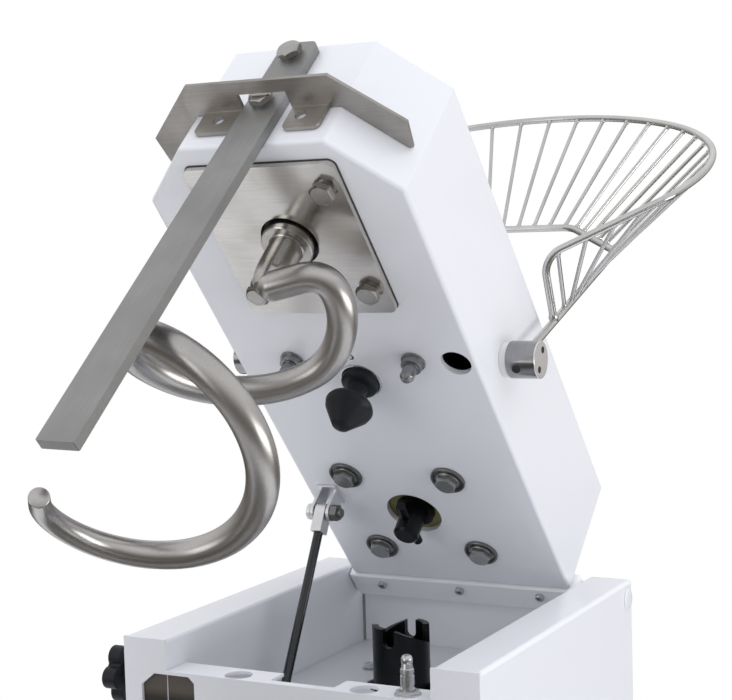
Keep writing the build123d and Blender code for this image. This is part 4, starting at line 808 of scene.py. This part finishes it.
welds = bmesh.new()
for i in range(-WIRES, WIRES + 1):
    side = 1 if i >= 0 else -1
    step = abs(i)
    top = rail_at(RAIL_STEP * step, side)
    low = rim_at(RIM_STEP * step - RIM_CLOSING * step * step, side)
    reach = (low - top).normalized()
    weld(welds, top + reach * RAIL_OFF, reach, DROP)
    weld(welds, low - reach * RIM_OFF, reach, DROP)
for side in (-1, 1):
    arm = guard_at(ARM_A, side * RAIL_X, -FALL * ARM_A - ARM_OFF)
    weld(welds, arm, Vector((0, 0, 1)), ARM_DROP)
piece("guard_welds", welds, guard_wire, "guard", guard_pose, 180)

# Side lock.  A steel bolt slides through a flanged bush in the left cheek; a five-lobed black hand
# knob on its end is turned to drive it under the mushroom's head.
dress(zinc, "lock_bush", edge=0.6)
dress(shaft_steel, "lock_bolt", edge=0.6)
dress(black_plastic, "lock_knob", edge=2.2)
KNOB_END, LOCK_Z = -184.0, -25.0
CAP = [(6.5, 0.0), (6.5, 0.5), (5.6, 1.0), (0, 1.3)]
centre = bmesh.new()
lathe(centre, CAP, facing(KNOB_END, LOCK_Y, LOCK_Z, (-1, 0, 0)), 36)
piece("knob_cap", centre, black_plastic, "lock_knob", column_pose)

# Controls.  A grey plastic panel on the right cheek carries a green start button and a red stop button
# in bright collars; the mains gland sits low on the rear of the base.
panel_plastic = enamel("panel_plastic", (0.2, 0.205, 0.21, 1), (0.17, 0.175, 0.18, 1), (0.45, 0.6),
                       900.0, 0.2, 0.0)
green = enamel("green_plastic", (0.02, 0.24, 0.06, 1), (0.018, 0.2, 0.05, 1), (0.29, 0.36),
               700.0, 0.06, 0.3)
red = enamel("red_plastic", (0.42, 0.016, 0.014, 1), (0.36, 0.014, 0.012, 1), (0.29, 0.36),
             700.0, 0.06, 0.3)
dress(panel_plastic, "control_panel", edge=1.2)
dress(green, "start_button", edge=1.5)
dress(red, "stop_button", edge=1.2)
dress(black_plastic, "cable_gland", edge=1.0)
PANEL_FACE, BUTTON_Z = 158.7, -215.0
COLLAR_IN, COLLAR_OUT, COLLAR_EDGE = 11.8, 14.6, 0.8
collars = bmesh.new()
for y, tall in ((-205.0, 2.4), (-150.0, 1.2)):
    ring = [(COLLAR_IN, 0.0), (COLLAR_OUT, 0.0), (COLLAR_OUT, tall - COLLAR_EDGE),
            (COLLAR_OUT - COLLAR_EDGE, tall), (COLLAR_IN, tall)]
    lathe(collars, ring, facing(PANEL_FACE, y, BUTTON_Z, (1, 0, 0)), 48)
piece("button_collars", collars, zinc, "frame", column_pose)
panel_screws = bmesh.new()
for y in (-232.0, -123.0):
    for z in (-247.0, -183.0):
        lathe(panel_screws, BUTTON_HEAD, facing(PANEL_FACE, y, z, (1, 0, 0)), 24)
piece("panel_screws", panel_screws, zinc, "frame", column_pose)
GLAND_NUT = [(13.0, 0.0), (13.2, 0.2, 6), (13.2, 7.0, 6, 0.5), (12.4, 7.6), (10.2, 7.8)]
GLAND_RIDGE = [(10.0, 9.0), (11.2, 9.6), (11.2, 11.0), (10.0, 11.6)]
RIDGE_PITCH = 4.0
gland = facing(90.0, 13.6, -560.0, (0, 1, 0))
ridges = bmesh.new()
lathe(ridges, GLAND_NUT, gland)
for k in range(3):
    lathe(ridges, [(r, z + RIDGE_PITCH * k) for r, z in GLAND_RIDGE], gland)
piece("gland_nut", ridges, black_plastic, "frame", column_pose)

# Studio.  A pale round floor, a white tent that is brightest above and below, which polished metal sees
# as a graded room, a large soft box from the right and weak ones from the front left and the back right.
floor_shape = bmesh.new()
bmesh.ops.create_circle(floor_shape, cap_ends=True, segments=128, radius=1.25)
floor_mesh = bpy.data.meshes.new("pale_floor")
floor_shape.to_mesh(floor_mesh)
floor_shape.free()
floor_paint = enamel("pale_floor", (0.82, 0.82, 0.82, 1), (0.79, 0.79, 0.79, 1), (0.5, 0.6),
                     60.0, 0.02, 0.0)
floor_mesh.materials.append(floor_paint)
floor = bpy.data.objects.new("pale_floor", floor_mesh)
bpy.context.scene.collection.objects.link(floor)


def softbox(name, place, target, width, height, power):
    """Soft rectangular lamp turned towards a point."""
    lamp = bpy.data.lights.new(name, "AREA")
    lamp.shape = "RECTANGLE"
    lamp.size = width
    lamp.size_y = height
    lamp.energy = power
    made = bpy.data.objects.new(name, lamp)
    made.location = place
    made.rotation_euler = (Vector(target) - Vector(place)).to_track_quat("-Z", "Y").to_euler()
    made.visible_camera = False
    bpy.context.scene.collection.objects.link(made)


softbox("right_box", (2.4, 0.15, 0.55), (0.0, 0.15, 0.6), 2.0, 0.7, 20.5)
softbox("back_box", (1.6, 2.6, 0.95), (0.1, 0.0, 0.85), 1.3, 1.3, 1.6)
softbox("front_box", (-1.2, -2.8, 0.9), (0.0, -0.1, 0.8), 1.4, 1.4, 10.0)

world = bpy.data.worlds.new("studio")
world.use_nodes = True
room = world.node_tree
height = add(room, "SeparateXYZ", {0: add(room, "TexCoord").outputs["Generated"]}).outputs[2]
level = spread(room, height, 0.0, 1.0, -1.0, 1.0)


def graded(stops):
    """Colour by height, from straight down to straight up."""
    ramp = add(room, "ValToRGB", {0: level})
    marks = ramp.color_ramp.elements
    marks[0].color = stops[0][1] + (1,)
    marks[1].color = stops[-1][1] + (1,)
    for at, colour in stops[1:-1]:
        marks.new(at).color = colour + (1,)
    return ramp.outputs[0]


seen = graded([(0.0, (0.3, 0.28, 0.26)), (0.36, (0.12, 0.105, 0.09)), (0.48, (0.3, 0.28, 0.26)),
               (0.6, (0.62, 0.61, 0.6)), (0.8, (1.0, 1.0, 1.0)), (1.0, (0.8, 0.8, 0.82))])
spill = graded([(0.0, (1.22, 1.23, 1.26)), (0.5, (0.28, 0.283, 0.292)), (1.0, (1.61, 1.63, 1.69))])
path = add(room, "LightPath").outputs
lit = tint(room, path["Is Glossy Ray"], spill, seen)
shown = tint(room, path["Is Camera Ray"], lit, (1, 1, 1, 1))
room.links.new(shown, room.nodes["Background"].inputs[0])
bpy.context.scene.world = world
bpy.context.scene.view_settings.view_transform = "Standard"

# Camera.  It stands in front of the machine and to its right, a little above the head's hinge, with the
# lens and the slight tilt of the photograph.
AZIMUTH, ELEVATION, ROLL = radians(27.74), radians(4.07), radians(-1.7)
SENSOR, FOCAL_PIXELS, PICTURE_PIXELS = 36, 1647, 732
STAND = Vector((0.6169, -1.3591, 0.3257))
back = Vector((sin(AZIMUTH) * cos(ELEVATION), -cos(AZIMUTH) * cos(ELEVATION), sin(ELEVATION)))
right = (-back).cross(Vector((0, 0, 1))).normalized()
up = right.cross(-back)
across = cos(ROLL) * right + sin(ROLL) * up
upward = -sin(ROLL) * right + cos(ROLL) * up
lens = bpy.data.cameras.new("camera")
lens.sensor_width = SENSOR
lens.sensor_fit = "HORIZONTAL"
lens.lens = FOCAL_PIXELS / PICTURE_PIXELS * SENSOR
camera = bpy.data.objects.new("camera", lens)
stand = Matrix((across, upward, back)).transposed().to_4x4()
stand.translation = STAND + hinge
camera.matrix_world = stand
bpy.context.scene.collection.objects.link(camera)
bpy.context.scene.camera = camera
